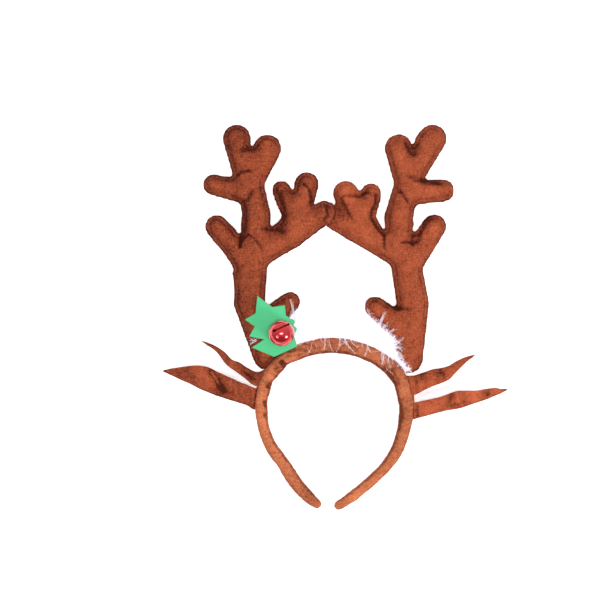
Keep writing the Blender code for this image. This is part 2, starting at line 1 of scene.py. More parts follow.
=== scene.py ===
"""Looks of a reindeer antler headband: stuffed antlers, padded sleeve, lined ears, holly leaf,
jingle bell and marabou trim, built round the headband's own solids.

The file is laid out as an add-on and run as a script. +Z is the headband's front, +Y runs up
the antlers and +X is to the right. Settings are in metres. The tables of creases, pulls,
patches, ears, wisps and dents are in millimetres, as read off a ruler laid on the headband.
"""

import math

import bmesh
import bpy
import numpy as np
from bpy.props import FloatProperty, FloatVectorProperty, IntProperty, PointerProperty
from mathutils import Matrix, Vector, kdtree, noise
from mathutils.bvhtree import BVHTree


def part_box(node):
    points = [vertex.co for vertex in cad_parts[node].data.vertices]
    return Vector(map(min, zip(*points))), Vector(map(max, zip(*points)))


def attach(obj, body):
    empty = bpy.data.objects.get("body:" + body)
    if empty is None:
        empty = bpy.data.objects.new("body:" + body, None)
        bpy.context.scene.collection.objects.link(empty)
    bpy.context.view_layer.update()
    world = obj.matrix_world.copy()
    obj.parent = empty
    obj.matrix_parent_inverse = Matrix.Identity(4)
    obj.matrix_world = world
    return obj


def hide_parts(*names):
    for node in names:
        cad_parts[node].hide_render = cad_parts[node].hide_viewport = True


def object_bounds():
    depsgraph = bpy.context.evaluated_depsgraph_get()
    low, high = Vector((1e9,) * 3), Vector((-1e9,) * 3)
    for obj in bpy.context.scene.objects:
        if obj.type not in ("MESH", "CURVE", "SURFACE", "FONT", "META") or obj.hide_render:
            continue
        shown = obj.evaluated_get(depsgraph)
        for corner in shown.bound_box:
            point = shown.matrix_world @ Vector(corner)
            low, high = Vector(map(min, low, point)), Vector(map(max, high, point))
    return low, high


bl_info = {
    "name": "Reindeer Headband Looks",
    "version": (1, 0, 0),
    "blender": (4, 5, 0),
    "location": "View3D > Sidebar > Headband",
    "description": "Dresses a reindeer antler headband in plush, down, foam and lacquer",
    "category": "Add Mesh",
}

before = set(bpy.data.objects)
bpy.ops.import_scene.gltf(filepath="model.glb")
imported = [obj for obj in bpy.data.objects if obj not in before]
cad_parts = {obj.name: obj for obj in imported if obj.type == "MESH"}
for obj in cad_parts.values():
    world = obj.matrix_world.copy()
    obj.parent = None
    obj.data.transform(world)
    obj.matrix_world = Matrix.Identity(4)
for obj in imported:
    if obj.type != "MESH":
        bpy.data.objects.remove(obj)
cad_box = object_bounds()

MM = 0.001
SIM_SCALE = 20.0               # cloth is blown up at this scale, where its weight is small
FLOOR_GAP = 0.05 * MM          # least gap between a soft piece's back and the floor
PILE_GAP = 0.35 * MM           # gap between a piece and the pile that it lies against
CORNER = math.radians(50)      # faces that meet at more than this have an edge between them
ABOVE = 0.1                    # height over the headband at which rays start to look down
DOWNWARD = Vector((0.0, 0.0, -1.0))
LOOKED_AT = Vector((-0.0280, 0.0136, 0.010))       # place in the middle of the camera's view

# Creases in the front of each soft piece, where it is sewn or folded, with painted shade in
# them. One with a negative depth stands up, and has painted light on it instead.
CREASES = {
    "antler_left": (
        # width, depth, how much painted shade darkens it, then the places it passes through
        (1.3, 1.3, 0.55, ((-78, 110), (-75, 114), (-66, 115))),
        (2.0, 0.9, 0.35, ((-64, 101), (-68, 95), (-71, 90))),
        (1.1, 0.9, 0.38, ((-76, 53), (-75, 59), (-69, 65), (-64, 62), (-59, 55), (-57, 49))),
        (1.3, 1.4, 0.50, ((-74, 66), (-75, 54))),
        (2.2, 0.7, 0.24, ((-72, 88), (-71, 74), (-73, 64))),
        (1.5, 1.1, 0.35, ((-60, 70), (-46, 69), (-39, 66))),
        (2.6, 0.8, 0.28, ((-44, 101), (-42, 92), (-41, 83), (-42, 74))),
        (1.2, 1.0, 0.45, ((-27, 106), (-21, 101), (-19, 94), (-19, 88))),
        (1.2, 1.0, 0.45, ((-8, 88), (-6, 80), (-10, 75))),
        (1.4, 0.9, 0.35, ((-67, 133), (-75, 130))),
    ),
    "antler_right": (
        (1.8, 1.0, 0.36, ((54, 139), (58, 130), (64, 127))),
        (1.8, 0.9, 0.42, ((55, 112), (64, 108), (74, 107), (84, 105))),
        (1.4, 1.6, 0.60, ((49, 100), (53, 96), (58, 90))),
        (1.2, 1.1, 0.45, ((51, 58.5), (56, 59.5), (60, 58), (66, 60.5))),
        (1.0, 0.6, 0.30, ((62, 66), (60, 61), (61, 55))),
        (1.4, 0.7, 0.35, ((77, 81), (71, 76), (67, 68), (65, 61))),
        (1.3, 1.1, 0.50, ((28, 78), (35, 68), (39, 64))),
        (1.0, 1.1, 0.50, ((38, 65), (38, 53))),
        (1.2, 1.2, 0.42, ((15, 74), (9, 83), (4, 93), (6, 96), (14, 96), (19, 95), (22, 97),
                          (26, 98), (32, 96), (32, 90), (29, 84), (27, 77))),
        (1.6, 1.3, 0.50, ((40, 12), (49, 7), (60, 6))),
        (0.8, 0.4, 0.25, ((55, -24), (64, -24))),
    ),
    "headband": (
        (1.5, 1.8, 0.65, ((-43.5, -33.5), (-41.5, -36.5), (-37.5, -40.5))),
        (1.2, 0.8, 0.35, ((-38, -27), (-29, -25), (-20, -27))),
        (1.0, 0.7, 0.30, ((-26, -20), (-18.5, -22), (-12, -23.5))),
        (1.0, 0.6, 0.25, ((-40, -31), (-33, -30), (-26, -29))),
        (1.2, 0.7, 0.30, ((-50, -44), (-46, -47), (-44, -51))),
        (1.4, 0.8, 0.35, ((-55, -55), (-50, -52.5), (-49.5, -56))),
        (1.2, 0.7, 0.35, ((-57, -65), (-55, -68), (-55.5, -71))),
        (1.5, 0.8, 0.35, ((37, -38), (42, -43), (46, -50), (48, -55))),
        (1.0, 0.5, 0.25, ((43, -39), (48, -47), (51, -57))),
        (1.3, 0.6, 0.30, ((51, -66), (52.5, -78), (49, -90))),
        (1.0, 0.4, 0.25, ((57, -49), (61, -54))),
        (1.0, 0.4, 0.30, ((62.5, -62), (63, -74), (61, -82))),
        (1.0, 0.4, 0.22, ((44, -97), (37, -107), (30, -114))),
    ),
    "ear_left_outer": (
        (2.8, 1.4, 0.50, ((-99.5, -41), (-94, -48), (-90, -55), (-87.0, -60.5))),
        (1.2, 0.6, 0.25, ((-99, -42), (-95, -47), (-92.5, -53))),
        (0.8, 0.3, 0.18, ((-80.5, -50), (-81.5, -64))),
        (1.0, 0.5, 0.50, ((-62, -56), (-63.5, -70))),
        (1.2, 0.5, 0.25, ((-73, -42), (-67, -46), (-62, -52))),
    ),
    "ear_right_outer": (
        (1.3, -0.6, -0.30, ((94, -58.5), (96, -65.5), (99.5, -69.5))),
        (1.6, 0.7, 0.30, ((91.5, -60), (89, -66), (92, -71))),
        (1.0, 0.5, 0.50, ((64, -68), (64.5, -79))),
        (1.0, 0.5, 0.40, ((63, -47), (64.5, -60))),
    ),
    "ear_left_lining": (
        (3.0, 1.0, 0.30, ((-100.5, -27), (-93.5, -33), (-87.5, -40), (-76, -48))),
    ),
    "ear_right_lining": (
        (1.4, 0.8, 0.28, ((67, -61.5), (82, -57), (89.5, -54.5), (99.5, -48))),
    ),
}

# Where the stuffing pulls a piece's outline away from the solid's
PULLS = {
    "antler_left": (
        # x, y, radius, right, up
        (-80, 35, 9, -3.0, 0.0),
        (-38, 60, 16, 0.6, -1.2),
        (-63.9, 137.6, 3.2, -1.3, -2.2),
        (-65.2, 135.4, 2.8, -1.1, -1.9),
        (-76.2, 67.5, 3.0, 1.4, -2.6),
        (-33.9, 102.0, 2.5, 0.5, -1.4),
    ),
    "antler_right": (
        (16, 68, 16, -0.6, -1.4),
        (66, 141, 5.0, -1.8, -0.3),
        (61.5, 137.5, 3.2, 0.3, -2.6),
        (61.8, 135.0, 3.0, 0.3, -2.4),
        (62.1, 132.6, 2.6, 0.0, -1.6),
        (36.0, 72.9, 3.0, 1.2, -2.6),
        (37.2, 70.3, 2.8, 0.9, -2.2),
        (38.1, 68.2, 2.4, 0.4, -1.4),
        (64.0, 70.0, 3.2, -1.6, -2.0),
        (62.4, 68.0, 2.8, -1.3, -1.7),
    ),
    "headband": (
        (-45, -121, 17, 2.6, 0.6),
        (45, -111, 22, 1.9, -0.7),
    ),
}

# Painted light and shade on each whole piece, lighter on the right where more light falls
SIDE_SHADE = {
    "antler_left": -0.06,
    "antler_right": 0.04,
    "ear_left_outer": -0.05,
    "ear_right_outer": 0.14,
}

# Where the pile is lighter or darker, from its nap, and where painted highlights and shade lie
NAP_AND_LIGHT_PATCHES = {
    "antler_left": (
        # x, y, radius, lighter or darker
        (-76, 137, 13, -0.16),
        (-52, 132, 7, 0.14),
        (-28, 67, 11, 0.18),
        (-48, 58, 9, 0.12),
        (-24, 91, 8, 0.16),
        (-67, 20, 17, -0.10),
        (-42, 69, 6, -0.30),
        (-70, 37, 13, -0.05),
        (-89, 102, 9, 0.05),
        (-41, 95, 6, -0.12),
    ),
    "antler_right": (
        (60, 130, 6, -0.12),
        (50, 124, 11, 0.10),
        (60, 59, 6, -0.18),
        (20, 62, 8, 0.10),
        (74, 98, 9, 0.16),
        (51, 73, 11, 0.04),
        (23, 70, 13, 0.08),
        (8, 102, 8, 0.40),
        (31, 101, 5, 0.25),
        (79, 67, 8, 0.08),
        (7, 80, 5, -0.20),
        (33, -10, 8, 0.06),
    ),
    "headband": (
        (-48.5, -46.5, 6, 0.25),
        (-59.5, -63, 6, 0.22),
        (-32, -33, 6, 0.18),
        (-57, -81, 16, 0.22),
        (-40, -112, 16, 0.12),
        (-20, -139, 7, -0.22),
        (2, -23, 13, -0.16),
        (46, -42, 9, -0.16),
        (53, -42, 4, 0.14),
        (54, -56, 4, 0.16),
        (52, -72, 12, -0.12),
        (19, -136, 14, 0.22),
        (38, -112, 8, 0.10),
    ),
    "ear_left_outer": (
        (-120, -42, 5, -0.14),
        (-105, -46, 6, 0.38),
        (-99, -52, 4, 0.28),
        (-81.5, -52.5, 3, 0.20),
        (-88.5, -57.5, 4.5, -0.35),
        (-71, -61, 6, 0.05),
        (-67, -46, 3, -0.30),
        (-81.5, -37, 3, 0.12),
        (-112, -48, 4, -0.12),
    ),
    "ear_right_outer": (
        (91.5, -61.5, 3, -0.30),
        (95, -68.5, 2.6, -0.30),
        (102.5, -65, 3.5, -0.22),
        (119, -60, 3, -0.30),
        (108, -63, 5, 0.38),
        (75, -70, 6, 0.18),
        (125, -59, 5, 0.10),
        (70.5, -74.5, 5, 0.15),
        (68.5, -46, 2.8, -0.42),
        (83, -44.5, 3.4, -0.42),
        (89.5, -43, 3, 0.25),
        (98, -35, 4, 0.10),
        (66, -56, 4, 0.14),
    ),
}

# How much painted shade darkens the edge of each lining towards its tip
EDGE_SHADE = {"left": 0.25, "right": 1.3}

# Stations of each ear from its root to its tip: its edges as its front is seen, the rims of
# the two folded flaps between them, and its depth. The lining reaches the edge where a rim
# meets it.
EARS = {
    # place of the root, way out, then the stations
    "left": (-57.0, -1, (
        # out, lower edge, lower rim, upper rim, upper edge, depth
        (0.9, -73.0, -56.1, -54.5, -40.8, 11.0),
        (5.6, -71.5, -54.9, -53.0, -43.1, 12.5),
        (12.7, -69.3, -52.6, -48.6, -39.7, 14.5),
        (19.0, -67.4, -50.4, -43.9, -35.4, 15.5),
        (24.5, -65.8, -47.7, -40.0, -33.4, 15.5),
        (30.0, -64.1, -45.5, -35.2, -27.7, 15.5),
        (36.3, -62.0, -42.6, -26.7, -23.3, 15.0),
        (42.6, -59.6, -39.4, -21.9, -20.4, 14.5),
        (49.7, -56.7, -38.0, -19.0, -18.6, 13.5),
        (57.6, -52.6, -38.2, -21.6, -21.2, 12.0),
        (64.7, -49.6, -39.2, -24.6, -24.3, 10.0),
        (71.7, -46.3, -40.5, -28.6, -28.3, 8.0),
        (75.7, -44.5, -41.5, -32.5, -32.1, 6.5),
        (78.0, -43.5, -42.2, -36.4, -36.0, 5.5),
        (79.4, -43.0, -42.6, -41.8, -41.5, 4.6),
    )),
    "right": (58.0, 1, (
        (2.1, -80.5, -67.1, -61.6, -45.9, 11.0),
        (5.3, -79.6, -66.6, -60.3, -46.1, 12.5),
        (12.4, -78.0, -65.3, -56.5, -43.3, 14.5),
        (18.7, -76.3, -64.0, -53.7, -40.9, 15.5),
        (25.0, -74.6, -62.5, -51.4, -40.0, 15.5),
        (31.3, -73.2, -60.0, -48.2, -38.2, 15.5),
        (36.8, -72.4, -58.1, -42.7, -34.9, 15.5),
        (42.3, -71.1, -57.8, -37.2, -32.2, 15.0),
        (47.8, -69.2, -57.8, -32.1, -30.4, 14.5),
        (52.5, -67.6, -58.0, -29.7, -29.3, 13.5),
        (61.2, -64.8, -56.7, -29.7, -29.3, 11.0),
        (69.0, -61.6, -56.1, -32.3, -31.9, 8.5),
        (74.5, -59.1, -57.1, -35.5, -35.2, 7.0),
        (78.5, -55.6, -55.2, -39.6, -39.2, 5.5),
        (80.2, -50.0, -49.6, -44.9, -44.5, 4.6),
    )),
}

# Wisps of down that fall over other pieces, each a small bundle of barbs
WISPS = (
    # start, middle, end, spread at the end, barbs
    ((-8.0, -13.0), (-8.5, -20.0), (-9.2, -26.0), 0.5, 4),
    ((-5.4, -13.0), (-5.2, -20.5), (-1.9, -27.6), 0.5, 5),
    ((-13.0, -14.5), (-12.0, -17.0), (-10.2, -19.5), 0.5, 3),
    ((3.8, -13.5), (3.3, -19.0), (2.7, -23.2), 0.5, 4),
    ((7.8, -13.5), (7.2, -18.0), (5.6, -21.4), 0.4, 3),
    ((7.2, -16.0), (8.0, -20.6), (11.6, -24.2), 0.4, 3),
    ((6.6, -14.5), (9.6, -21.6), (15.7, -29.0), 0.5, 5),
    ((11.4, -15.6), (14.0, -20.4), (18.6, -23.0), 0.5, 3),
    ((20.2, -17.0), (20.4, -21.0), (21.6, -24.0), 0.5, 3),
    ((25.2, -19.4), (24.6, -25.6), (22.3, -31.0), 0.5, 4),
    ((24.8, -20.0), (25.4, -24.4), (28.2, -27.6), 0.5, 3),
    ((36.4, -25.0), (36.6, -31.0), (37.6, -36.2), 1.4, 11),
    ((42.2, -28.6), (41.2, -34.6), (43.4, -39.8), 0.7, 6),
    ((45.0, -29.6), (44.2, -33.0), (44.0, -35.8), 0.6, 4),
    ((45.6, -30.0), (52.0, -35.2), (58.8, -47.0), 0.5, 8),
    ((33.6, -9.0), (35.8, -2.6), (38.8, 4.6), 1.0, 17),
    ((36.4, -11.0), (38.0, -7.0), (41.4, -6.0), 0.9, 10),
    ((38.4, -17.0), (42.0, -12.6), (46.6, -8.4), 1.1, 11),
    ((39.0, -19.0), (40.8, -15.6), (42.0, -12.4), 0.9, 7),
    ((43.6, -19.6), (47.6, -18.6), (51.4, -21.9), 1.2, 13),
    ((43.6, -25.0), (48.4, -23.6), (53.2, -26.8), 1.4, 17),
    ((44.4, -28.0), (49.4, -28.4), (53.4, -33.0), 1.5, 17),
    ((45.4, -23.0), (49.0, -20.2), (52.8, -16.6), 0.9, 7),
    ((-31.6, -3.0), (-33.8, 5.6), (-35.2, 13.6), 0.9, 12),
    ((-31.0, -2.0), (-31.2, 3.6), (-29.8, 7.2), 0.8, 7),
    ((-35.6, -1.0), (-34.6, 2.6), (-32.6, 5.4), 1.2, 12),
    ((-62.2, -17.4), (-64.4, -17.8), (-67.4, -17.2), 0.9, 10),
    ((-62.6, -18.4), (-65.4, -20.0), (-67.6, -21.6), 0.8, 7),
)


# Settings


class PlushSettings(bpy.types.PropertyGroup):
    """Brushed pile that covers the antlers, the sleeve and the ears"""

    # Each pile's colour runs from its shade colour to its pile colour with its mottle and nap,
    # and with the painted light and shade in the shade attribute
    antler_dark: FloatVectorProperty(
        name="Antler shade", description="Colour of the antlers' pile where it lies in shade",
        default=(0.075, 0.010, 0.005), min=0.0, max=1.0, subtype="COLOR")
    antler_light: FloatVectorProperty(
        name="Antler pile", description="Colour of the antlers' pile where it is brushed up",
        default=(0.56, 0.120, 0.048), min=0.0, max=1.0, subtype="COLOR")
    band_dark: FloatVectorProperty(
        name="Band shade", description="Colour of the sleeve's pile where it lies in shade",
        default=(0.17, 0.034, 0.014), min=0.0, max=1.0, subtype="COLOR")
    band_light: FloatVectorProperty(
        name="Band pile", description="Colour of the sleeve's pile where it is brushed up",
        default=(0.78, 0.24, 0.105), min=0.0, max=1.0, subtype="COLOR")
    pile_size: FloatProperty(
        name="Pile size", description="Size of the mottling of the pile",
        default=0.0011, min=0.0002, unit="LENGTH")
    pile_height: FloatProperty(
        name="Pile height", description="Depth of the relief of the pile",
        default=0.0004, min=0.0, unit="LENGTH")


class AntlerSettings(bpy.types.PropertyGroup):
    """Stuffed antlers"""

    cloth_size: FloatProperty(
        name="Cloth faces", description="Size of the faces of the cloth that is stuffed",
        default=0.0014, min=0.0005, unit="LENGTH")
    pressure: FloatProperty(
        name="Stuffing", description="Pressure of the stuffing", default=6.0, min=0.0)
    spare: FloatProperty(
        name="Spare cloth", description="Share by which the cloth is wider than the solid",
        default=0.05, min=0.0, max=0.3)
    steps: IntProperty(
        name="Steps", description="Steps of the cloth while it is stuffed", default=16, min=1)
    swell: FloatProperty(
        name="Swell", description="Most that the stuffing moves the cloth",
        default=0.0022, min=0.0, unit="LENGTH")
    pile: FloatProperty(
        name="Pile", description="How far the pile stands out round the edge of the solid",
        default=0.0010, min=0.0, unit="LENGTH")
    flange: FloatProperty(
        name="Flange", description="Width of the sewn edge with its pile", default=0.0034,
        min=0.0, unit="LENGTH")
    lump: FloatProperty(
        name="Lumps", description="Height of the lumps of the stuffing", default=0.0006,
        min=0.0, unit="LENGTH")


class SleeveSettings(bpy.types.PropertyGroup):
    """Padded sleeve of the hoop"""

    cloth_size: FloatProperty(
        name="Cloth faces", description="Size of the faces of the sleeve's cloth",
        default=0.0011, min=0.0005, unit="LENGTH")
    dent_depth: FloatProperty(
        name="Dents", description="Depth of the dents at the stitches", default=0.0022,
        min=0.0, unit="LENGTH")


class EarSettings(bpy.types.PropertyGroup):
    """Folded ears"""

    stations: IntProperty(
        name="Stations", description="Rows of faces along an ear", default=110, min=8)
    points: IntProperty(
        name="Points", description="Rows of faces across an ear", default=56, min=8)
    plush: FloatProperty(
        name="Plush", description="Thickness of the ears' plush", default=0.0014,
        min=0.0002, unit="LENGTH")
    white: FloatProperty(
        name="Lining thickness", description="Thickness of the ears' lining", default=0.0009,
        min=0.0002, unit="LENGTH")
    gap: FloatProperty(
        name="Gap", description="Gap between the plush and its lining", default=0.0004,
        min=0.0, unit="LENGTH")
    bare: FloatProperty(
        name="Bare edge", description="Width of flap under which the lining reaches the edge",
        default=0.0012, min=0.0001, unit="LENGTH")
    retreat: FloatProperty(
        name="Retreat", description="How far the plush stops behind a bare edge",
        default=math.radians(26), subtype="ANGLE")
    # Painted glow: the lining gives off light of its own colour, so it looks brighter than its
    # lamps make it
    glow: FloatProperty(
        name="Glow", description="Light that the lining passes on from the pale floor",
        default=0.36, min=0.0)
    lining: FloatVectorProperty(
        name="Lining", description="Colour of the ears' lining", default=(0.93, 0.93, 0.94),
        min=0.0, max=1.0, subtype="COLOR")


class LeafSettings(bpy.types.PropertyGroup):
    """Foam leaf"""

    foam: FloatVectorProperty(
        name="Foam", description="Colour of the foam", default=(0.095, 0.62, 0.27), min=0.0,
        max=1.0, subtype="COLOR")
    edge: FloatProperty(
        name="Edge", description="Rounding of the leaf's cut edge", default=0.0003,
        min=0.00001, unit="LENGTH")


class BellSettings(bpy.types.PropertyGroup):
    """Jingle bell"""

    lacquer: FloatVectorProperty(
        name="Lacquer", description="Colour of the lacquer", default=(0.70, 0.010, 0.018),
        min=0.0, max=1.0, subtype="COLOR")
    wall: FloatProperty(
        name="Wall", description="Thickness of the bell's sheet", default=0.0008, min=0.0001,
        unit="LENGTH")
    rise: FloatProperty(
        name="Rise", description="How far the bell has slid up the leaf", default=0.0009,
        unit="LENGTH")
    slot_length: FloatProperty(
        name="Slot length", description="Length of the bell's slot", default=0.0124,
        min=0.001, unit="LENGTH")
    slot_rise: FloatProperty(
        name="Slot rise", description="How far the slot lies above the bell's middle",
        default=0.0045, unit="LENGTH")
    slot_width: FloatProperty(
        name="Slot width", description="Width of the bell's slot", default=0.0014,
        min=0.0001, unit="LENGTH")
    slot_hole: FloatProperty(
        name="Slot hole", description="Diameter of the larger hole at the slot's end",
        default=0.0023, min=0.0001, unit="LENGTH")
    lean: FloatProperty(
        name="Lean", description="How far the bell's front leans up the leaf",
        default=math.radians(28), subtype="ANGLE")
    slot_turn: FloatProperty(
        name="Slot turn", description="How far the slot rises to the right",
        default=math.radians(24), subtype="ANGLE")


class DownSettings(bpy.types.PropertyGroup):
    """Marabou trim"""

    colour: FloatVectorProperty(
        name="Colour", description="Colour of the down", default=(0.92, 0.89, 0.96),
        min=0.0, max=1.0, subtype="COLOR")
    strands: IntProperty(
        name="Barbs", description="Number of barbs along the crown", default=3200, min=0)
    length: FloatProperty(
        name="Length", description="Length of the longest barbs", default=0.032, min=0.001,
        unit="LENGTH")
    width: FloatProperty(
        name="Width", description="Width of a barb at its root", default=0.00020,
        min=0.00005, unit="LENGTH")
    wisp_width: FloatProperty(
        name="Wisp width", description="Width of a barb of the wisps that fall over the band",
        default=0.00022, min=0.00005, unit="LENGTH")
    overlap: FloatProperty(
        name="Overlap", description="How far the trim's barbs reach over other pieces",
        default=0.0032, min=0.0, unit="LENGTH")
    # Painted glow: the down gives off light of its own colour, so it looks brighter than its
    # lamps make it
    glow: FloatProperty(
        name="Glow", description="Light that the down passes on from the barbs behind it",
        default=0.30, min=0.0)
    # Painted glow of the fallen wisps, a light of their own colour
    wisp_glow: FloatProperty(
        name="Wisp glow", description="Light that the fallen wisps pass on", default=0.05,
        min=0.0)


class StageSettings(bpy.types.PropertyGroup):
    """Floor, light and camera"""

    view_width: FloatProperty(
        name="View width", description="Width of the floor that the camera sees",
        default=0.4722, min=0.01, unit="LENGTH")
    lens: FloatProperty(
        name="Lens", description="Focal length of the camera in millimetres", default=150.0,
        min=10.0)
    sky_slope: FloatProperty(
        name="Sky slope", description="How much brighter the sky is above the antlers",
        default=0.65, min=0.0, max=1.0)
    sky: FloatProperty(
        name="Sky", description="Strength of the soft light from all round", default=0.52,
        min=0.0)
    key: FloatProperty(
        name="Key", description="Power of the main soft light in watts", default=14.0,
        min=0.0)
    front: FloatProperty(
        name="Front light", description="Power of the wide light beside the camera in watts",
        default=16.0, min=0.0)
    side: FloatProperty(
        name="Side light", description="Power of the small light on the left in watts",
        default=4.0, min=0.0)
    floor_glow: FloatProperty(
        name="Floor glow", description="Light that comes up through the white floor",
        default=0.60, min=0.0)


# Meshes


def add_object(name, data):
    thing = bpy.data.objects.new(name, data)
    bpy.context.scene.collection.objects.link(thing)
    return thing


def closed_copy(node, name):
    """A new piece with the shape of one of the headband's solids, its corners joined up."""
    thing = add_object(name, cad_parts[node].data.copy())
    shape = bmesh.new()
    shape.from_mesh(thing.data)
    bmesh.ops.remove_doubles(shape, verts=shape.verts, dist=0.001 * MM)
    shape.to_mesh(thing.data)
    shape.free()
    thing.data.materials.clear()
    return thing


def settle(thing):
    """Make what the modifiers show the piece's own mesh."""
    graph = bpy.context.evaluated_depsgraph_get()
    made = bpy.data.meshes.new_from_object(thing.evaluated_get(graph))
    old = thing.data
    thing.modifiers.clear()
    thing.data = made
    bpy.data.meshes.remove(old)
    made.name = thing.name


def even_faces(thing, size):
    melt = thing.modifiers.new("even faces", "REMESH")
    melt.mode = "VOXEL"
    melt.voxel_size = size
    settle(thing)


def soften(thing, passes):
    smooth = thing.modifiers.new("soften", "SMOOTH")
    smooth.factor = 0.5
    smooth.iterations = passes
    settle(thing)


def subdivide(thing):
    finer = thing.modifiers.new("finer faces", "SUBSURF")
    finer.levels = 1
    finer.render_levels = 1
    settle(thing)


def thicken(thing, wall):
    """Give a surface a wall behind it. It is settled with the modifier that follows."""
    sheet = thing.modifiers.new("wall", "SOLIDIFY")
    sheet.thickness = wall
    sheet.offset = -1.0


def round_edges(thing, width, segments):
    edge = thing.modifiers.new("rounded edges", "BEVEL")
    edge.width = width
    edge.segments = segments
    edge.limit_method = "ANGLE"
    edge.angle_limit = CORNER
    settle(thing)


def read_points(mesh):
    values = np.empty(len(mesh.vertices) * 3, np.float32)
    mesh.vertices.foreach_get("co", values)
    return values.reshape(-1, 3).astype(float)


def write_points(mesh, points):
    mesh.vertices.foreach_set("co", points.astype(np.float32).ravel())
    mesh.update()


def read_normals(mesh):
    values = np.empty(len(mesh.vertices) * 3, np.float32)
    mesh.vertices.foreach_get("normal", values)
    return values.reshape(-1, 3).astype(float)


def paint(mesh, name, values):
    """Keep a value for each point of the mesh, for its material to read."""
    layer = mesh.attributes.new(name, "FLOAT", "POINT")
    layer.data.foreach_set("value", values.astype(np.float32))


def lumps(points, size, seed):
    """Smooth noise between about -1 and 1 at each point, with lumps of this size."""
    shift = Vector((seed * 7.31, seed * 3.17, seed * 5.73))
    return np.array([noise.noise(Vector(point) / size + shift) for point in points])


def ease(values):
    values = np.clip(values, 0.0, 1.0)
    return values * values * (3 - 2 * values)


def near_place(points, x, y, radius):
    """1 at a place, and less and less away from it. The place is in millimetres."""
    away = np.hypot(points[:, 0] - x * MM, points[:, 1] - y * MM) / (radius * MM)
    return np.exp(-away * away)


def along_line(points, corners):
    """Distance of each point from a line of straight runs, and its share of the way along."""
    corners = np.array(corners, float) * MM
    runs = np.linalg.norm(np.diff(corners, axis=0), axis=1)
    starts = np.concatenate([[0.0], np.cumsum(runs)])
    away = np.full(len(points), np.inf)
    share = np.zeros(len(points))
    for start, end, before, run in zip(corners, corners[1:], starts, runs):
        part = np.clip((points[:, :2] - start) @ (end - start) / run**2, 0.0, 1.0)
        gap = np.linalg.norm(points[:, :2] - start - part[:, None] * (end - start), axis=1)
        nearer = gap < away
        away[nearer] = gap[nearer]
        share[nearer] = ((before + part * run) / starts[-1])[nearer]
    return away, share


def outline_tree(mesh, step=0.4 * MM):
    """Points all along the outline of a mesh as its front is seen, to find the nearest one."""
    shape = bmesh.new()
    shape.from_mesh(mesh)
    tree = BVHTree.FromBMesh(shape)
    shape.free()
    points = read_points(mesh)
    low, high = points.min(axis=0) - 2 * step, points.max(axis=0) + 2 * step

    def covers(x, y):
        return tree.ray_cast(Vector((x, y, high[2])), DOWNWARD)[0] is not None

    def close_in(first, last, covered, place):
        """Where the outline passes between two places, of which the first is covered so."""
        for _ in range(5):
            middle = (first + last) / 2
            if covers(*place(middle)) == covered:
                first = middle
            else:
                last = middle
        return first

    across = np.arange(low[0], high[0], step)
    upward = np.arange(low[1], high[1], step)
    inside = np.array([[covers(x, y) for x in across] for y in upward])
    found = []
    for row, column in np.argwhere(inside[:, 1:] != inside[:, :-1]):
        y = upward[row]
        x = close_in(across[column], across[column + 1], inside[row, column],
                     lambda at: (at, y))
        found.append((x, y, 0.0))
    for row, column in np.argwhere(inside[1:] != inside[:-1]):
        x = across[column]
        y = close_in(upward[row], upward[row + 1], inside[row, column],
                     lambda at: (x, at))
        found.append((x, y, 0.0))
    outline = kdtree.KDTree(len(found))
    for index, point in enumerate(found):
        outline.insert(point, index)
    outline.balance()
    return outline


def widen(thing, reach, pulls):
    """Move the sides of a mesh outwards, then pull at its places in a table."""
    points = read_points(thing.data)
    normals = read_normals(thing.data)
    points[:, :2] += normals[:, :2] * reach
    for x, y, radius, right, up in pulls:
        near = near_place(points, x, y, radius)
        points[:, :2] += near[:, None] * np.array([right, up]) * MM
    write_points(thing.data, points)


def from_outline(points, outline):
    """Distance of each point from the outline, as the front is seen."""
    return np.array([outline.find((x, y, 0.0))[2] for x, y, _ in points])


def stuff(thing, held, pressure, spare, steps, limit):
    """Blow the cloth up with stuffing. The points that are held stay where they are sewn."""
    start = read_points(thing.data)
    write_points(thing.data, start * SIM_SCALE)
    seam = thing.vertex_groups.new(name="seam")
    seam.add(np.flatnonzero(held).tolist(), 1.0, "REPLACE")
    cloth = thing.modifiers.new("stuffing", "CLOTH")
    fabric = cloth.settings
    fabric.quality = 4
    fabric.mass = 0.3
    fabric.tension_stiffness = 12.0
    fabric.compression_stiffness = 12.0
    fabric.shear_stiffness = 4.0
    fabric.bending_stiffness = 0.4
    fabric.use_pressure = True
    fabric.uniform_pressure_force = pressure
    fabric.shrink_min = -spare
    fabric.vertex_group_mass = seam.name
    fabric.effector_weights.gravity = 0.0
    cloth.point_cache.frame_start = 1
    cloth.point_cache.frame_end = steps
    for step in range(1, steps + 1):
        bpy.context.scene.frame_set(step)
    settle(thing)
    bpy.context.scene.frame_set(1)
    shift = read_points(thing.data) / SIM_SCALE - start
    length = np.linalg.norm(shift, axis=1)
    shift *= (limit * np.tanh(length / limit) / np.maximum(length, 1e-9))[:, None]
    write_points(thing.data, start + shift)


def lay_flat(mesh):
    """Flatten the back of a mesh where it would sink into the surface it lies on."""
    points = read_points(mesh)
    points[:, 2] = np.maximum(points[:, 2], cad_box[0][2] + FLOOR_GAP)
    write_points(mesh, points)


def press_creases(mesh, table, shade):
    """Press the creases into the front of a mesh, and paint shade in them."""
    points = read_points(mesh)
    normals = read_normals(mesh)
    front = ease(normals[:, 2] * 2.5)
    sink = np.zeros(len(points))
    for width, depth, dark, corners in table:
        away, share = along_line(points, corners)
        ends = ease(np.minimum(share, 1 - share) * 6 + 0.25)
        away = away / (width * MM)
        valley = np.exp(-away * away) * ends
        ridge = np.exp(-(away - 2.2) ** 2 * 1.5) * ends
        sink += depth * MM * (valley - 0.30 * ridge)
        shade -= dark * valley * front
    write_points(mesh, points - normals * (sink * front)[:, None])


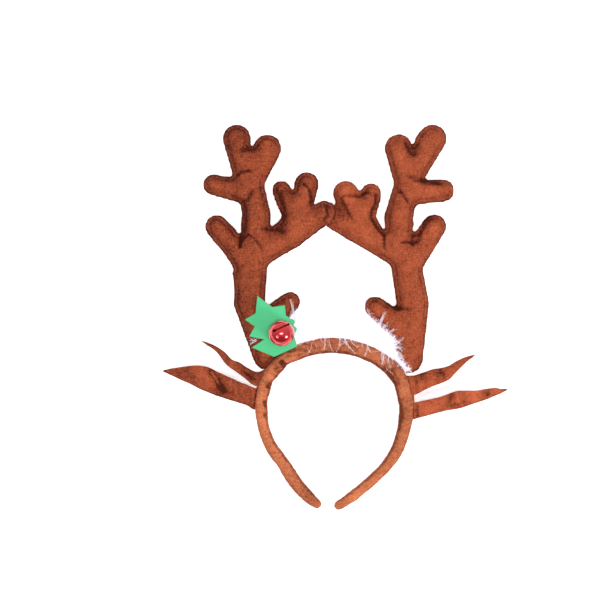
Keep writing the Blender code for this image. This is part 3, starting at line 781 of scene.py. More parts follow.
# Add the table's nap and its painted highlights and shade to the shade values
def add_nap_and_light(points, table, shade):
    for x, y, radius, change in table:
        shade += change * near_place(points, x, y, radius)


# Materials

# Painted shade on white cloth and down, and its darkest fibres, keep this share of their colour
SHADOW_TINT = (0.50, 0.46, 0.58)       # share of a white's colour that is left in its shade


def add_node(tree, kind, inputs=None, **settings):
    """A shader node with its sockets set or linked, by name or by number."""
    node = tree.nodes.new(kind)
    for name, value in settings.items():
        setattr(node, name, value)
    for name, value in (inputs or {}).items():
        if isinstance(value, bpy.types.NodeSocket):
            tree.links.new(value, node.inputs[name])
        else:
            node.inputs[name].default_value = value
    return node


def maths(tree, operation, *values, clamp=False):
    node = add_node(tree, "ShaderNodeMath", dict(enumerate(values)), operation=operation)
    node.use_clamp = clamp
    return node.outputs[0]


def grain(tree, spot, size, detail=3.0, rough=0.6, stretch=None, turn=0.0):
    """Noise between 0 and 1 with this size in metres, drawn out along one way if asked."""
    if stretch:
        spot = add_node(
            tree, "ShaderNodeMapping",
            {"Vector": spot, "Rotation": (0.0, 0.0, turn), "Scale": stretch}).outputs[0]
    return add_node(
        tree, "ShaderNodeTexNoise",
        {"Vector": spot, "Scale": size, "Detail": detail, "Roughness": rough}).outputs[0]


def own_places(tree):
    return add_node(tree, "ShaderNodeTexCoord").outputs["Object"]


def mix_colours(tree, factor, first, second):
    return add_node(tree, "ShaderNodeMix", {"Factor": factor, 6: first, 7: second},
                    data_type="RGBA").outputs[2]


def add_relief(tree, shader, height, strength, distance):
    bump = add_node(tree, "ShaderNodeBump",
                    {"Height": height, "Strength": strength, "Distance": distance})
    tree.links.new(bump.outputs[0], shader.inputs["Normal"])


def new_group(name, inputs, outputs):
    group = bpy.data.node_groups.new(name, "ShaderNodeTree")
    for label, kind, value in inputs:
        socket = group.interface.new_socket(label, in_out="INPUT", socket_type=kind)
        socket.default_value = value
    for label, kind in outputs:
        group.interface.new_socket(label, in_out="OUTPUT", socket_type=kind)
    return group, group.nodes.new("NodeGroupInput"), group.nodes.new("NodeGroupOutput")


def pile_group():
    """Brushed pile: a mottled colour and a height, from the piece's own places."""
    name = "Brushed pile"
    if name in bpy.data.node_groups:
        return bpy.data.node_groups[name]
    colour, number = "NodeSocketColor", "NodeSocketFloat"
    group, given, put = new_group(
        name,
        (
            ("Shade Colour", colour, (0.1, 0.02, 0.01, 1.0)),
            ("Pile Colour", colour, (0.5, 0.12, 0.05, 1.0)),
            ("Shade", number, 0.0),
            ("Mottle Scale", number, 800.0),
            ("Mottle", number, 0.5),
            ("Nap", number, 0.3),
        ),
        (("Color", colour), ("Height", number)),
    )
    spot = own_places(group)
    size = given.outputs["Mottle Scale"]
    tufts = grain(group, spot, size, 3.0, 0.65)
    rows = grain(group, spot, size, 2.0, 0.5, (0.25, 1.0, 0.6), 0.7)
    columns = grain(group, spot, size, 2.0, 0.5, (1.0, 0.3, 0.6), 0.5)
    nap = grain(group, spot, 95.0, 3.0, 0.6)
    mottle = maths(group, "ADD", tufts, maths(group, "MULTIPLY", maths(
        group, "ADD", rows, columns), 0.5))
    mottle = maths(group, "MULTIPLY", maths(group, "SUBTRACT", mottle, 1.0),
                   given.outputs["Mottle"])
    swept = maths(group, "MULTIPLY", maths(group, "SUBTRACT", nap, 0.5),
                  given.outputs["Nap"])
    # The Shade input adds the painted light and shade to the mottle and nap
    light = maths(group, "ADD", maths(group, "ADD", mottle, swept),
                  maths(group, "ADD", given.outputs["Shade"], 0.5), clamp=True)
    mixed = mix_colours(group, light, given.outputs["Shade Colour"],
                        given.outputs["Pile Colour"])
    group.links.new(mixed, put.inputs["Color"])
    group.links.new(tufts, put.inputs["Height"])
    return group


def new_material(name, roughness, **sockets):
    material = bpy.data.materials.new(name)
    material.use_nodes = True
    shader = material.node_tree.nodes["Principled BSDF"]
    shader.inputs["Roughness"].default_value = roughness
    for label, value in sockets.items():
        shader.inputs[label.replace("_", " ")].default_value = value
    return material, material.node_tree, shader


def plush(name, dark, light, mottle=1.3, nap=0.5):
    """Short brushed pile in one colour."""
    settings = bpy.context.scene.headband_plush
    material, tree, shader = new_material(
        name, 0.95, Sheen_Weight=0.12, Sheen_Roughness=0.45,
        Sheen_Tint=(*light, 1.0), Specular_IOR_Level=0.15)
    # The shade attribute holds the piece's painted light and shade
    shade = add_node(tree, "ShaderNodeAttribute", attribute_name="shade")
    pile = add_node(
        tree, "ShaderNodeGroup",
        {
            "Shade Colour": (*dark, 1.0),
            "Pile Colour": (*light, 1.0),
            "Shade": shade.outputs["Fac"],
            "Mottle Scale": 1 / settings.pile_size,
            "Mottle": mottle,
            "Nap": nap,
        },
        node_tree=pile_group())
    tree.links.new(pile.outputs["Color"], shader.inputs["Base Color"])
    add_relief(tree, shader, pile.outputs["Height"], 0.6, settings.pile_height)
    return material


def white_cloth(name, colour, size, relief, contrast, **sockets):
    """White fleece or down, with a faint fibre in its colour and relief, painted shade where
    its shade attribute asks, and a painted glow.
    """
    material, tree, shader = new_material(name, 0.85, **sockets)
    fibres = grain(tree, own_places(tree), 1 / size, 4.0, 0.6)
    shade = add_node(tree, "ShaderNodeAttribute", attribute_name="shade").outputs["Fac"]
    light = maths(tree, "SUBTRACT", maths(tree, "ADD", shade, 1.0),
                  maths(tree, "MULTIPLY", fibres, contrast), clamp=True)
    shaded = [value * part for value, part in zip(colour, SHADOW_TINT)]
    mixed = mix_colours(tree, light, (*shaded, 1.0), (*colour, 1.0))
    tree.links.new(mixed, shader.inputs["Base Color"])
    # Painted glow: the same colour, with its painted shade, is given off as light
    tree.links.new(mixed, shader.inputs["Emission Color"])
    add_relief(tree, shader, fibres, 0.4, relief)
    return material


def foam_material(colour):
    """Matt foam sheet with fine cells."""
    material, tree, shader = new_material("green foam", 0.75, Specular_IOR_Level=0.3)
    spot = own_places(tree)
    cells = grain(tree, spot, 2600.0, 3.0, 0.7)
    cloud = grain(tree, spot, 130.0, 2.0, 0.5)
    light = maths(tree, "ADD", maths(tree, "MULTIPLY", cells, 0.6),
                  maths(tree, "MULTIPLY", cloud, 0.4), clamp=True)
    mixed = mix_colours(tree, light, (*(value * 0.86 for value in colour), 1.0),
                        (*(min(value * 1.12, 1.0) for value in colour), 1.0))
    tree.links.new(mixed, shader.inputs["Base Color"])
    add_relief(tree, shader, cells, 0.35, 0.1 * MM)
    return material


def lacquer_material(colour):
    """Glossy lacquer over metal, a little worn and not quite even."""
    material, tree, shader = new_material(
        "red lacquer", 0.24, Metallic=0.80, Coat_Weight=1.0, Coat_Roughness=0.07,
        Coat_IOR=1.65)
    spot = own_places(tree)
    orange_peel = grain(tree, spot, 500.0, 2.0, 0.5)
    worn = maths(tree, "MULTIPLY", grain(tree, spot, 260.0, 4.0, 0.7), 0.25)
    mixed = mix_colours(tree, worn, (*colour, 1.0), (*(value * 0.6 for value in colour), 1.0))
    tree.links.new(mixed, shader.inputs["Base Color"])
    add_relief(tree, shader, orange_peel, 0.15, 0.05 * MM)
    return material


def steel_material():
    """Plain steel with faint marks."""
    material, tree, shader = new_material("pea steel", 0.3, Metallic=1.0)
    marks = grain(tree, own_places(tree), 900.0, 4.0, 0.7)
    mixed = mix_colours(tree, marks, (0.38, 0.38, 0.39, 1.0), (0.62, 0.62, 0.63, 1.0))
    tree.links.new(mixed, shader.inputs["Base Color"])
    return material


def finish_piece(thing, material, slot, *nodes):
    """Give a piece its finish, let it ride with the headband and stand for its solids."""
    thing.data.materials.clear()
    thing.data.materials.append(material)
    thing.data.shade_smooth()
    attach(thing, "root")
    if nodes:
        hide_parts(*nodes)


# Antlers


def make_antler(node, material):
    """Stuff one antler: cloth blown up between its sewn edges, then its folds and lumps."""
    settings = bpy.context.scene.headband_antlers
    thing = closed_copy(node, f"{node}_plush")
    even_faces(thing, settings.cloth_size)
    widen(thing, settings.pile, PULLS[node])
    even_faces(thing, settings.cloth_size)
    outline = outline_tree(thing.data)
    away = from_outline(read_points(thing.data), outline)
    stuff(thing, away < settings.flange, settings.pressure, settings.spare,
          settings.steps, settings.swell)
    subdivide(thing)
    points = read_points(thing.data)
    normals = read_normals(thing.data)
    away = from_outline(points, outline) / settings.flange
    groove = np.exp(-((away - 1.0) / 0.30) ** 2) * ease(np.abs(normals[:, 2]) * 3)
    bulk = ease((away - 1.2) / 1.5)
    rise = settings.lump * lumps(points, 13 * MM, 1.0) * bulk
    rise += 0.4 * settings.lump * lumps(points, 5 * MM, 2.0) * bulk
    rise += 0.07 * MM * lumps(points, 1.8 * MM, 3.0)
    rise -= 0.45 * MM * groove
    write_points(thing.data, points + normals * rise[:, None])
    # Painted light on the whole piece, and tone that differs at random
    shade = SIDE_SHADE[node] + 0.07 * lumps(points, 7 * MM, 9.0)
    # Painted shade in the seam's groove, stronger in some places than others, and a painted
    # dark rim at the edge
    seam_shade_strength = ease(0.5 + 1.2 * lumps(points, 17 * MM, 8.0))
    shade -= (0.04 + 0.24 * seam_shade_strength) * groove
    shade -= 0.46 * np.exp(-(away / 0.36) ** 2) * ease(1.0 + lumps(points, 9 * MM, 10.0))
    # Painted light: the bulk is lighter, and lighter still on its right and lower sides,
    # towards the key light
    shade += 0.14 * ease((away - 1.0) / 1.8) - 0.06
    shade += (0.08 * normals[:, 0] - 0.14 * normals[:, 1]) * ease(away * 1.5 - 0.5)
    add_nap_and_light(points, NAP_AND_LIGHT_PATCHES[node], shade)
    press_creases(thing.data, CREASES[node], shade)
    lay_flat(thing.data)
    paint(thing.data, "shade", shade)
    finish_piece(thing, material, "antler_plush", node)


class HEADBAND_OT_antlers(bpy.types.Operator):
    """Stuff both antlers and press in their folds"""

    bl_idname = "headband.antlers"
    bl_label = "Antlers"

    def execute(self, context):
        settings = context.scene.headband_plush
        material = plush("antler pile", settings.antler_dark, settings.antler_light)
        for node in ("antler_left", "antler_right"):
            make_antler(node, material)
        return {"FINISHED"}


# Sleeve

SLEEVE_DENTS = (
    # x, y, radius, depth as a share, how much painted shade darkens it
    (-38.8, -39.1, 2.4, 1.0, 0.55),
    (-42.3, -35.6, 1.8, 0.6, 0.40),
    (-46.2, -40.6, 2.4, 0.7, 0.45),
    (-52.1, -52.9, 2.2, 0.8, 0.45),
    (-55.6, -67.6, 2.0, 0.6, 0.40),
    (-55.6, -77.0, 1.7, 0.9, 0.60),
    (58.8, -50.8, 1.2, 0.3, 0.45),
    (60.9, -53.9, 1.2, 0.3, 0.40),
    (62.5, -70.7, 1.2, 0.3, 0.35),
)
HEAD_MIDDLE = (-1.0 * MM, -76.0 * MM)       # middle of the space that the hoop goes round


class HEADBAND_OT_sleeve(bpy.types.Operator):
    """Cover the hoop with its padded sleeve"""

    bl_idname = "headband.sleeve"
    bl_label = "Sleeve"

    def execute(self, context):
        settings = context.scene.headband_sleeve
        colours = context.scene.headband_plush
        thing = closed_copy("headband", "sleeve_plush")
        even_faces(thing, settings.cloth_size)
        widen(thing, 0.0, PULLS["headband"])
        soften(thing, 3)
        subdivide(thing)
        points = read_points(thing.data)
        normals = read_normals(thing.data)
        front = ease(normals[:, 2] * 2 + 0.3)
        # Wrinkles that rise and sink, with painted light on their tops and painted shade in
        # their troughs
        wrinkles = lumps(points * (1.0, 1.6, 1.0), 3.4 * MM, 4.0)
        rise = 0.35 * MM * lumps(points, 9 * MM, 3.0) + 0.30 * MM * wrinkles
        shade = 0.05 * lumps(points, 12 * MM, 5.0) + 0.20 * wrinkles
        # Painted shade on the side that faces the head, and a little on the outer side
        inward = np.array(HEAD_MIDDLE) - points[:, :2]
        inward /= np.linalg.norm(inward, axis=1)[:, None]
        inward = (normals[:, :2] * inward).sum(axis=1)
        shade -= 0.42 * ease((inward - 0.45) * 2.2) + 0.16 * ease((-0.55 - inward) * 2.5)
        # Dents at the stitches, with painted shade in them
        for x, y, radius, depth, dark in SLEEVE_DENTS:
            pit = near_place(points, x, y, radius) * front
            rise -= settings.dent_depth * depth * pit
            shade -= dark * pit
        add_nap_and_light(points, NAP_AND_LIGHT_PATCHES["headband"], shade)
        write_points(thing.data, points + normals * rise[:, None])
        press_creases(thing.data, CREASES["headband"], shade)
        lay_flat(thing.data)
        paint(thing.data, "shade", shade)
        material = plush("band pile", colours.band_dark, colours.band_light, 1.0, 0.3)
        finish_piece(thing, material, "band_plush", "headband")
        return {"FINISHED"}


# Ears


def smooth_read(rows, column, places):
    """Read a column of a table at other places, on a smooth curve through its rows."""
    rows = np.array(rows, float)
    at, values = rows[:, 0], rows[:, column]
    slopes = np.gradient(values, at)
    row = np.clip(np.searchsorted(at, places) - 1, 0, len(at) - 2)
    span = at[row + 1] - at[row]
    part = np.clip((places - at[row]) / span, 0.0, 1.0)
    rest = 1 - part
    return ((1 + 2 * part) * rest**2 * values[row] + part * rest**2 * span * slopes[row]
            + (3 - 2 * part) * part**2 * values[row + 1]
            - rest * part**2 * span * slopes[row + 1])


def ear_grid(side, layer):
    """Points of one layer of an ear: stations from root to tip, each from rim to rim."""
    settings = bpy.context.scene.headband_ears
    root, way, rows = EARS[side]
    share = np.linspace(0.0, 1.0, settings.stations)
    # The stations lie closer together towards the tip
    out = rows[0][0] + (rows[-1][0] - rows[0][0]) * (1 - (1 - share) ** 1.7)
    low, low_rim, high_rim, high, depth = (
        smooth_read(rows, column, out) * MM for column in range(1, 6))
    middle, reach, thick = (low + high) / 2, (high - low) / 2, depth / 2
    # Each station is part of an oval, from the upper rim round the back to the lower rim
    first = np.arccos(np.clip((high_rim - middle) / reach, -1.0, 1.0))
    last = np.arccos(np.clip((low_rim - middle) / reach, -1.0, 1.0))
    bare_high = 1 - ease((high - high_rim) / settings.bare)
    bare_low = 1 - ease((low_rim - low) / settings.bare)
    if layer == "outer":
        inset = 0.0
        start = first * (1 - bare_high) - settings.retreat * bare_high
        end = (last - 2 * np.pi) * (1 - bare_low) + (settings.retreat - np.pi) * bare_low
    else:
        inset = settings.plush + settings.gap
        start = 0.5 * first * (1 - bare_high)
        end = 0.5 * (last - np.pi) * (1 - bare_low) - np.pi
    turns = start[:, None] + np.outer(end - start, np.linspace(0.0, 1.0, settings.points))
    bare = np.where(np.cos(turns) > 0, bare_high[:, None], bare_low[:, None])
    across = middle[:, None] + np.maximum(reach[:, None] - inset * (1 - bare), 0.05 * MM) * (
        np.cos(turns))
    # The root lies at the height of the sleeve's middle, and the rest on the floor
    sleeve_middle = (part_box("headband")[0].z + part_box("headband")[1].z) / 2
    sunk = ease(out / (0.45 * rows[-1][0]))
    centre = thick * sunk + sleeve_middle * (1 - sunk)
    height = centre[:, None] + np.maximum(thick - inset, 0.3 * MM)[:, None] * np.sin(turns)
    along = np.repeat((root + way * out)[:, None] * MM, settings.points, axis=1)
    return np.stack([along, across, height], axis=2)


def meet_sleeve(grid, way, gap, blend):
    """Draw the ear's root out to the sleeve's side, with a small gap."""
    sleeve = BVHTree.FromObject(bpy.data.objects["sleeve_plush"],
                                bpy.context.evaluated_depsgraph_get())
    inward = Vector((-way, 0.0, 0.0))
    fade = 1 - ease(np.abs(grid[:, 0, 0] - grid[0, 0, 0]) / blend)
    for column in range(grid.shape[1]):
        start = Vector(grid[0, column]) - inward * blend
        hit = sleeve.ray_cast(start, inward)[0]
        if hit:
            grid[:, column, 0] += (hit.x + way * gap - grid[0, column, 0]) * fade


def sheet_from_grid(name, grid, wall):
    """A closed sheet of cloth behind a grid of points."""
    rows, columns, _ = grid.shape
    base = np.arange(rows - 1)[:, None] * columns + np.arange(columns - 1)[None, :]
    faces = np.stack([base, base + 1, base + columns + 1, base + columns], axis=2)
    mesh = bpy.data.meshes.new(name)
    mesh.from_pydata(grid.reshape(-1, 3).tolist(), [], faces.reshape(-1, 4).tolist())
    thing = add_object(name, mesh)
    shape = bmesh.new()
    shape.from_mesh(mesh)
    shape.normal_update()
    back = min(shape.faces, key=lambda face: face.calc_center_median().z)
    if back.normal.z > 0:
        bmesh.ops.reverse_faces(shape, faces=shape.faces)
    shape.to_mesh(mesh)
    shape.free()
    thicken(thing, wall)
    round_edges(thing, wall / 4, 2)
    return thing


def make_ear_layer(side, layer, material, slot, wall):
    """Fold one layer of an ear, paint shade on its edges and in its creases, and press in its
    folds.
    """
    node = f"ear_{side}_{layer}"
    root, way, rows = EARS[side]
    grid = ear_grid(side, layer)
    sway = lumps(grid.reshape(-1, 3) * (1.0, 1.0, 0.2), 12 * MM, 6.0).reshape(grid.shape[:2])
    grid[:, :, 2] += 0.6 * MM * sway * ease((grid[:, :, 2] - 3 * MM) / (5 * MM))
    meet_sleeve(grid, way, PILE_GAP, 14 * MM)
    thing = sheet_from_grid(f"{node}_cloth", grid, wall)
    points = read_points(thing.data)
    out = (points[:, 0] / MM - root) * way
    low = smooth_read(rows, 1, out) * MM
    high = smooth_read(rows, 4, out) * MM
    edge = np.minimum(points[:, 1] - low, high - points[:, 1]) / MM
    if layer == "lining":
        # Only the last fifth of a lining has painted shade on its edge
        tip = ease((out - 0.80 * rows[-1][0]) / 9)
        shade = -EDGE_SHADE[side] * np.exp(-(edge / 0.5) ** 2) * tip
    else:
        # Painted light on the whole piece, tone that differs at random, and painted shade along
        # both edges
        shade = SIDE_SHADE[node] + 0.14 * lumps(points, 9 * MM, 7.0)
        shade += 0.20 * lumps(points, 3 * MM, 12.0)
        shade -= 0.32 * np.exp(-(edge / 1.0) ** 2)
        add_nap_and_light(points, NAP_AND_LIGHT_PATCHES[node], shade)
    press_creases(thing.data, CREASES[node], shade)
    lay_flat(thing.data)
    paint(thing.data, "shade", shade)
    finish_piece(thing, material, slot, node)


class HEADBAND_OT_ears(bpy.types.Operator):
    """Fold the plush and the lining of both ears"""

    bl_idname = "headband.ears"
    bl_label = "Ears"

    def execute(self, context):
        settings = context.scene.headband_ears
        colours = context.scene.headband_plush
        pile = plush("ear pile", colours.antler_dark, colours.antler_light)
        # The lining has a painted glow of its own colour
        lining = white_cloth("ear lining", settings.lining, 0.6 * MM, 0.15 * MM, 0.03,
                             Emission_Strength=settings.glow)
        for side in ("left", "right"):
            make_ear_layer(side, "outer", pile, "ear_plush", settings.plush)
            make_ear_layer(side, "lining", lining, "ear_lining", settings.white)
        return {"FINISHED"}


# Leaf


class HEADBAND_OT_leaf(bpy.types.Operator):
    """Cut the holly leaf from foam"""

    bl_idname = "headband.leaf"
    bl_label = "Leaf"

    def execute(self, context):
        settings = context.scene.headband_leaf
        thing = closed_copy("holly_leaf", "holly_leaf_foam")
        shape = bmesh.new()
        shape.from_mesh(thing.data)
        bmesh.ops.dissolve_limit(shape, angle_limit=math.radians(2), verts=shape.verts,
                                 edges=shape.edges)
        shape.to_mesh(thing.data)
        shape.free()
        round_edges(thing, settings.edge, 3)
        finish_piece(thing, foam_material(settings.foam), "leaf_foam", "holly_leaf")
        thing.data.set_sharp_from_angle(angle=CORNER)
        return {"FINISHED"}


# Bell


def bell_profile(radius):
    """Half outline of the bell from its front to its back, with a rolled seam at the middle."""
    count = 36
    points = []
    for step in range(count + 1):
        angle = math.pi * step / count
        away = abs(angle - math.pi / 2) / math.radians(5)
        reach = radius * (1.03 + 0.02 * math.exp(-away * away))
        points.append((reach * math.sin(angle), 0.0, reach * math.cos(angle)))
    return points


def turned_shell(name, radius, wall):
    """Thin closed shell, turned round its axis."""
    mesh = bpy.data.meshes.new(name)
    points = bell_profile(radius)
    mesh.from_pydata(points, [(i, i + 1) for i in range(len(points) - 1)], [])
    shell = add_object(name, mesh)
    spin = shell.modifiers.new("turned shell", "SCREW")
    spin.steps = 72
    spin.render_steps = 72
    spin.use_merge_vertices = True
    spin.merge_threshold = 0.01 * MM
    thicken(shell, wall)
    settle(shell)
    return shell


def add_cutter(name, shape, place):
    mesh = bpy.data.meshes.new(name)
    shape.to_mesh(mesh)
    shape.free()
    cutter = add_object(name, mesh)
    cutter.matrix_world = place
    return cutter


def hole_cutter(name, diameter, length, place):
    shape = bmesh.new()
    bmesh.ops.create_cone(shape, cap_ends=True, segments=32, radius1=diameter / 2,
                          radius2=diameter / 2, depth=length,
                          matrix=Matrix.Translation((0.0, 0.0, length / 2)))
    return add_cutter(name, shape, place)


def slot_cutter(name, length, width, depth, place):
    shape = bmesh.new()
    bmesh.ops.create_cube(shape, size=1.0)
    for vert in shape.verts:
        vert.co = Vector((vert.co.x * length, vert.co.y * width, (vert.co.z + 0.5) * depth))
    return add_cutter(name, shape, place)


def cut_away(thing, cutters):
    """Cut the cutters out of a piece. It is settled with the modifier that follows."""
    for cutter in cutters:
        cut = thing.modifiers.new("cut", "BOOLEAN")
        cut.operation = "DIFFERENCE"
        cut.solver = "EXACT"
        cut.object = cutter


class HEADBAND_OT_bell(bpy.types.Operator):
    """Turn the jingle bell and cut its slot"""

    bl_idname = "headband.bell"
    bl_label = "Bell"

    def execute(self, context):
        settings = context.scene.headband_bell
        low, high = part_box("jingle_bell")
        radius = (high.x - low.x) / 2
        middle = Vector(((low.x + high.x) / 2, (low.y + high.y) / 2 + settings.rise,
                         high.z - radius))
        turn = Matrix.Translation(middle) @ Matrix.Rotation(-settings.lean, 4, "X")
        bell = turned_shell("jingle_bell_lacquer", radius, settings.wall)
        bell.data.transform(turn)
        front = (Matrix.Translation(middle + Vector((0.0, settings.slot_rise, 0.0)))
                 @ Matrix.Rotation(settings.slot_turn, 4, "Z"))
        reach = settings.slot_length / 2
        cutters = [hole_cutter(f"hole_{side}", settings.slot_hole * size, 2 * radius,
                               front @ Matrix.Translation((place, 0.0, 0.0)))
                   for side, place, size in (("left", -reach, 1.0), ("right", reach, 0.85))]
        cutters.append(slot_cutter("slot", settings.slot_length, settings.slot_width,
                                   2 * radius, front))
        context.view_layer.update()
        cut_away(bell, cutters)
        round_edges(bell, 0.12 * MM, 2)
        for cutter in cutters:
            bpy.data.objects.remove(cutter, do_unlink=True)
        finish_piece(bell, lacquer_material(settings.lacquer), "bell_metal", "jingle_bell")
        bell.data.set_sharp_from_angle(angle=math.radians(40))
        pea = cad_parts["bell_pea"]
        pea.data.materials.clear()
        pea.data.materials.append(steel_material())
        return {"FINISHED"}


# Marabou trim


def cut_short(path, plan, overlap, dice):
    """Shorten the barbs that reach over other pieces, so that they lie on their edges alone."""
    share = np.linspace(0.0, 1.0, path.shape[1])
    fine = np.linspace(0.0, 1.0, 25)
    for index, barb in enumerate(path):
        line = np.stack([np.interp(fine, share, barb[:, axis]) for axis in range(3)], axis=1)
        length = np.linalg.norm(barb[-1] - barb[0])
        for place, (x, y, _) in zip(fine, line):
            if plan.ray_cast(Vector((x, y, ABOVE)), DOWNWARD)[0]:
                room = dice.uniform(0.2, 1.0) * overlap
                keep = min(place + room / max(length, MM), 1.0)
                for axis in range(3):
                    path[index, :, axis] = np.interp(share * keep, share, barb[:, axis])
                break
    return path


def push_clear(path, solids, dice):
    """Move the points that lie in or on the solids out to their surface."""
    flat = path.reshape(-1, 3)
    for index, point in enumerate(flat):
        near, normal, _, _ = solids.find_nearest(Vector(point), 12 * MM)
        if near is not None and (Vector(point) - near).dot(normal) < PILE_GAP:
            flat[index] = near + normal * (PILE_GAP + 0.5 * MM * dice.random())
    flat[:, 2] = np.maximum(flat[:, 2], 0.4 * MM)
    return flat.reshape(path.shape)


def cloud_paths(roots, ways, lengths, dice, stations=6):
    """Curved barbs that stand out from their roots and droop a little."""
    count = len(roots)
    share = np.linspace(0.0, 1.0, stations)
    side = np.cross(ways, dice.normal(size=(count, 3)))
    side /= np.linalg.norm(side, axis=1)[:, None]
    other = np.cross(ways, side)
    phase = dice.uniform(0, 2 * np.pi, (count, 1))
    swing = dice.uniform(0.04, 0.14, (count, 1)) * lengths[:, None]
    bend = dice.normal(0.0, 0.16, (count, 1)) * lengths[:, None]
    wave = swing * np.sin(phase + share * dice.uniform(2.0, 5.0, (count, 1))) * share
    path = roots[:, None] + ways[:, None] * (lengths[:, None] * share)[:, :, None]
    path += side[:, None] * wave[:, :, None]
    path += other[:, None] * (bend * share**2)[:, :, None]
    path[:, :, 2] -= 0.16 * lengths[:, None] * share**2
    return path


def wisp_paths(table, top, dice, stations=9):
    """Bundles of barbs that lie over what is below them, or hang on past its edge."""
    share = np.linspace(0.0, 1.0, stations)[:, None]
    paths = []
    for start, middle, end, spread, count in table:
        for _ in range(count):
            ends = [np.array(start) + dice.normal(0.0, 0.35, 2),
                    np.array(middle) + dice.normal(0.0, 0.25 + 0.35 * spread, 2),
                    np.array(end) + dice.normal(0.0, spread, 2)]
            # A curve through its start, middle and end
            flat = ends[0] * (1 - share) ** 2 + ends[2] * share**2
            flat = (flat + 2 * share * (1 - share) * (
                2 * ends[1] - (ends[0] + ends[2]) / 2)) * MM
            lift = dice.uniform(0.3, 1.5) * MM
            height = 12 * MM
            path = []
            for x, y in flat:
                hit = top.ray_cast(Vector((x, y, ABOVE)), DOWNWARD)[0]
                height = hit.z + lift if hit else height - 0.3 * MM
                path.append((x, y, height))
            path = np.array(path)
            for _ in range(3):
                path[1:-1, 2] = np.maximum(path[1:-1, 2],
                                           (path[:-2, 2] + path[2:, 2]) / 2)
            paths.append(path)
    return np.array(paths)


def make_barbs(name, path, width, hairs, reach, dice):
    """Tapered ribbons along the paths, each with fine hairs along it."""
    count, stations, _ = path.shape
    share = np.linspace(0.0, 1.0, stations)
    run = np.gradient(path, axis=1)
    run /= np.maximum(np.linalg.norm(run, axis=2), 1e-9)[:, :, None]
    across = np.cross(run, dice.normal(size=(count, 1, 3)))
    across /= np.maximum(np.linalg.norm(across, axis=2), 1e-9)[:, :, None]
    half = (width / 2 * (1 - share) ** 0.6)[None, :, None] + 0.02 * MM
    ribbon = np.stack([path - across * half, path + across * half], axis=2)
    verts = ribbon.reshape(-1, 3)
    base = np.arange(count)[:, None] * stations * 2 + np.arange(stations - 1)[None, :] * 2
    faces = np.stack([base, base + 1, base + 3, base + 2], axis=2).reshape(-1, 4)
    where = dice.uniform(0.1, 0.98, (count, hairs)) * (stations - 1)
    low = np.minimum(where.astype(int), stations - 2)
    part = (where - low)[:, :, None]
    rows = np.arange(count)[:, None]
    spot = path[rows, low] * (1 - part) + path[rows, low + 1] * part
    lead = run[rows, low]
    out = dice.normal(size=(count, hairs, 3))
    out -= lead * (out * lead).sum(axis=2)[:, :, None]
    out /= np.maximum(np.linalg.norm(out, axis=2), 1e-9)[:, :, None]
    tip = spot + (out + lead * 0.9) * dice.uniform(0.25, 1.0, (count, hairs, 1)) * reach
    tip[:, :, 2] = np.maximum(tip[:, :, 2], 0.3 * MM)
    foot = lead * 0.07 * MM
    fine = np.stack([spot - foot, spot + foot, tip], axis=2).reshape(-1, 3)
    fine_faces = np.arange(len(fine)).reshape(-1, 3) + len(verts)
    mesh = bpy.data.meshes.new(name)
    mesh.from_pydata(np.concatenate([verts, fine]).tolist(), [],
                     faces.tolist() + fine_faces.tolist())
    return add_object(name, mesh)


def solid_tree(*names):
    """One tree of several pieces' surfaces."""
    points, faces = [], []
    for name in names:
        mesh = bpy.data.objects[name].data
        base = len(points)
        points += [vert.co.copy() for vert in mesh.vertices]
        faces += [[base + index for index in face.vertices] for face in mesh.polygons]
    return BVHTree.FromPolygons(points, faces)


class HEADBAND_OT_down(bpy.types.Operator):
    """Lay the marabou trim along the crown"""

    bl_idname = "headband.down"
    bl_label = "Down"

    def execute(self, context):
        settings = context.scene.headband_down
        dice = np.random.default_rng(11)
        solids = solid_tree("antler_left_plush", "antler_right_plush", "sleeve_plush",
                            "holly_leaf_foam", "jingle_bell_lacquer")
        crown = BVHTree.FromObject(bpy.data.objects["sleeve_plush"],
                                   context.evaluated_depsgraph_get())
        low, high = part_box("fur_trim")
        count = settings.strands
        # The barbs grow out of the sleeve's outer side, all along the trim
        across = dice.uniform(low.x + 2 * MM, high.x + 6 * MM, count)
        rise = dice.uniform(2 * MM, 13 * MM, count)
        roots, ways = [], []
        for x, z in zip(across, rise):
            spot, normal, _, _ = crown.ray_cast(Vector((x, 0.05, z)), Vector((0, -1, 0)))
            if spot is None:
                continue
            outward = Vector((normal.x, normal.y, 0.0)).normalized()
            roots.append(spot + outward * dice.uniform(0.5, 5.0) * MM)
            ways.append(outward + Vector(dice.normal(0.0, 0.5, 3)))
        roots = np.array(roots)
        ways = np.array(ways)
        ways[:, 2] += 0.15
        ways /= np.linalg.norm(ways, axis=1)[:, None]
        lengths = settings.length * dice.uniform(0.3, 1.0, len(roots))
        cloud = cloud_paths(roots, ways, lengths, dice)
        plan = solid_tree("antler_left_plush", "antler_right_plush", "holly_leaf_foam",
                          "ear_left_outer_cloth", "ear_right_outer_cloth")
        cloud = push_clear(cut_short(cloud, plan, settings.overlap, dice), solids, dice)
        wisps = push_clear(wisp_paths(WISPS, solids, dice), solids, dice)
        # Both kinds of down have a painted glow of their own colour
        thick, thin = (
            white_cloth(name, settings.colour, 0.8 * MM, 0.1 * MM, 0.03,
                        Emission_Strength=glow)
            for name, glow in (("white down", settings.glow),
                               ("thin down", settings.wisp_glow))
        )
        down = make_barbs("marabou_down", cloud, settings.width, hairs=10, reach=3.0 * MM,
                          dice=dice)
        finish_piece(down, thick, "white_down", "fur_trim")
        fallen = make_barbs("marabou_wisps", wisps, settings.wisp_width, hairs=12,
                            reach=0.9 * MM, dice=dice)
        finish_piece(fallen, thin, "white_down")
        return {"FINISHED"}


# Stage


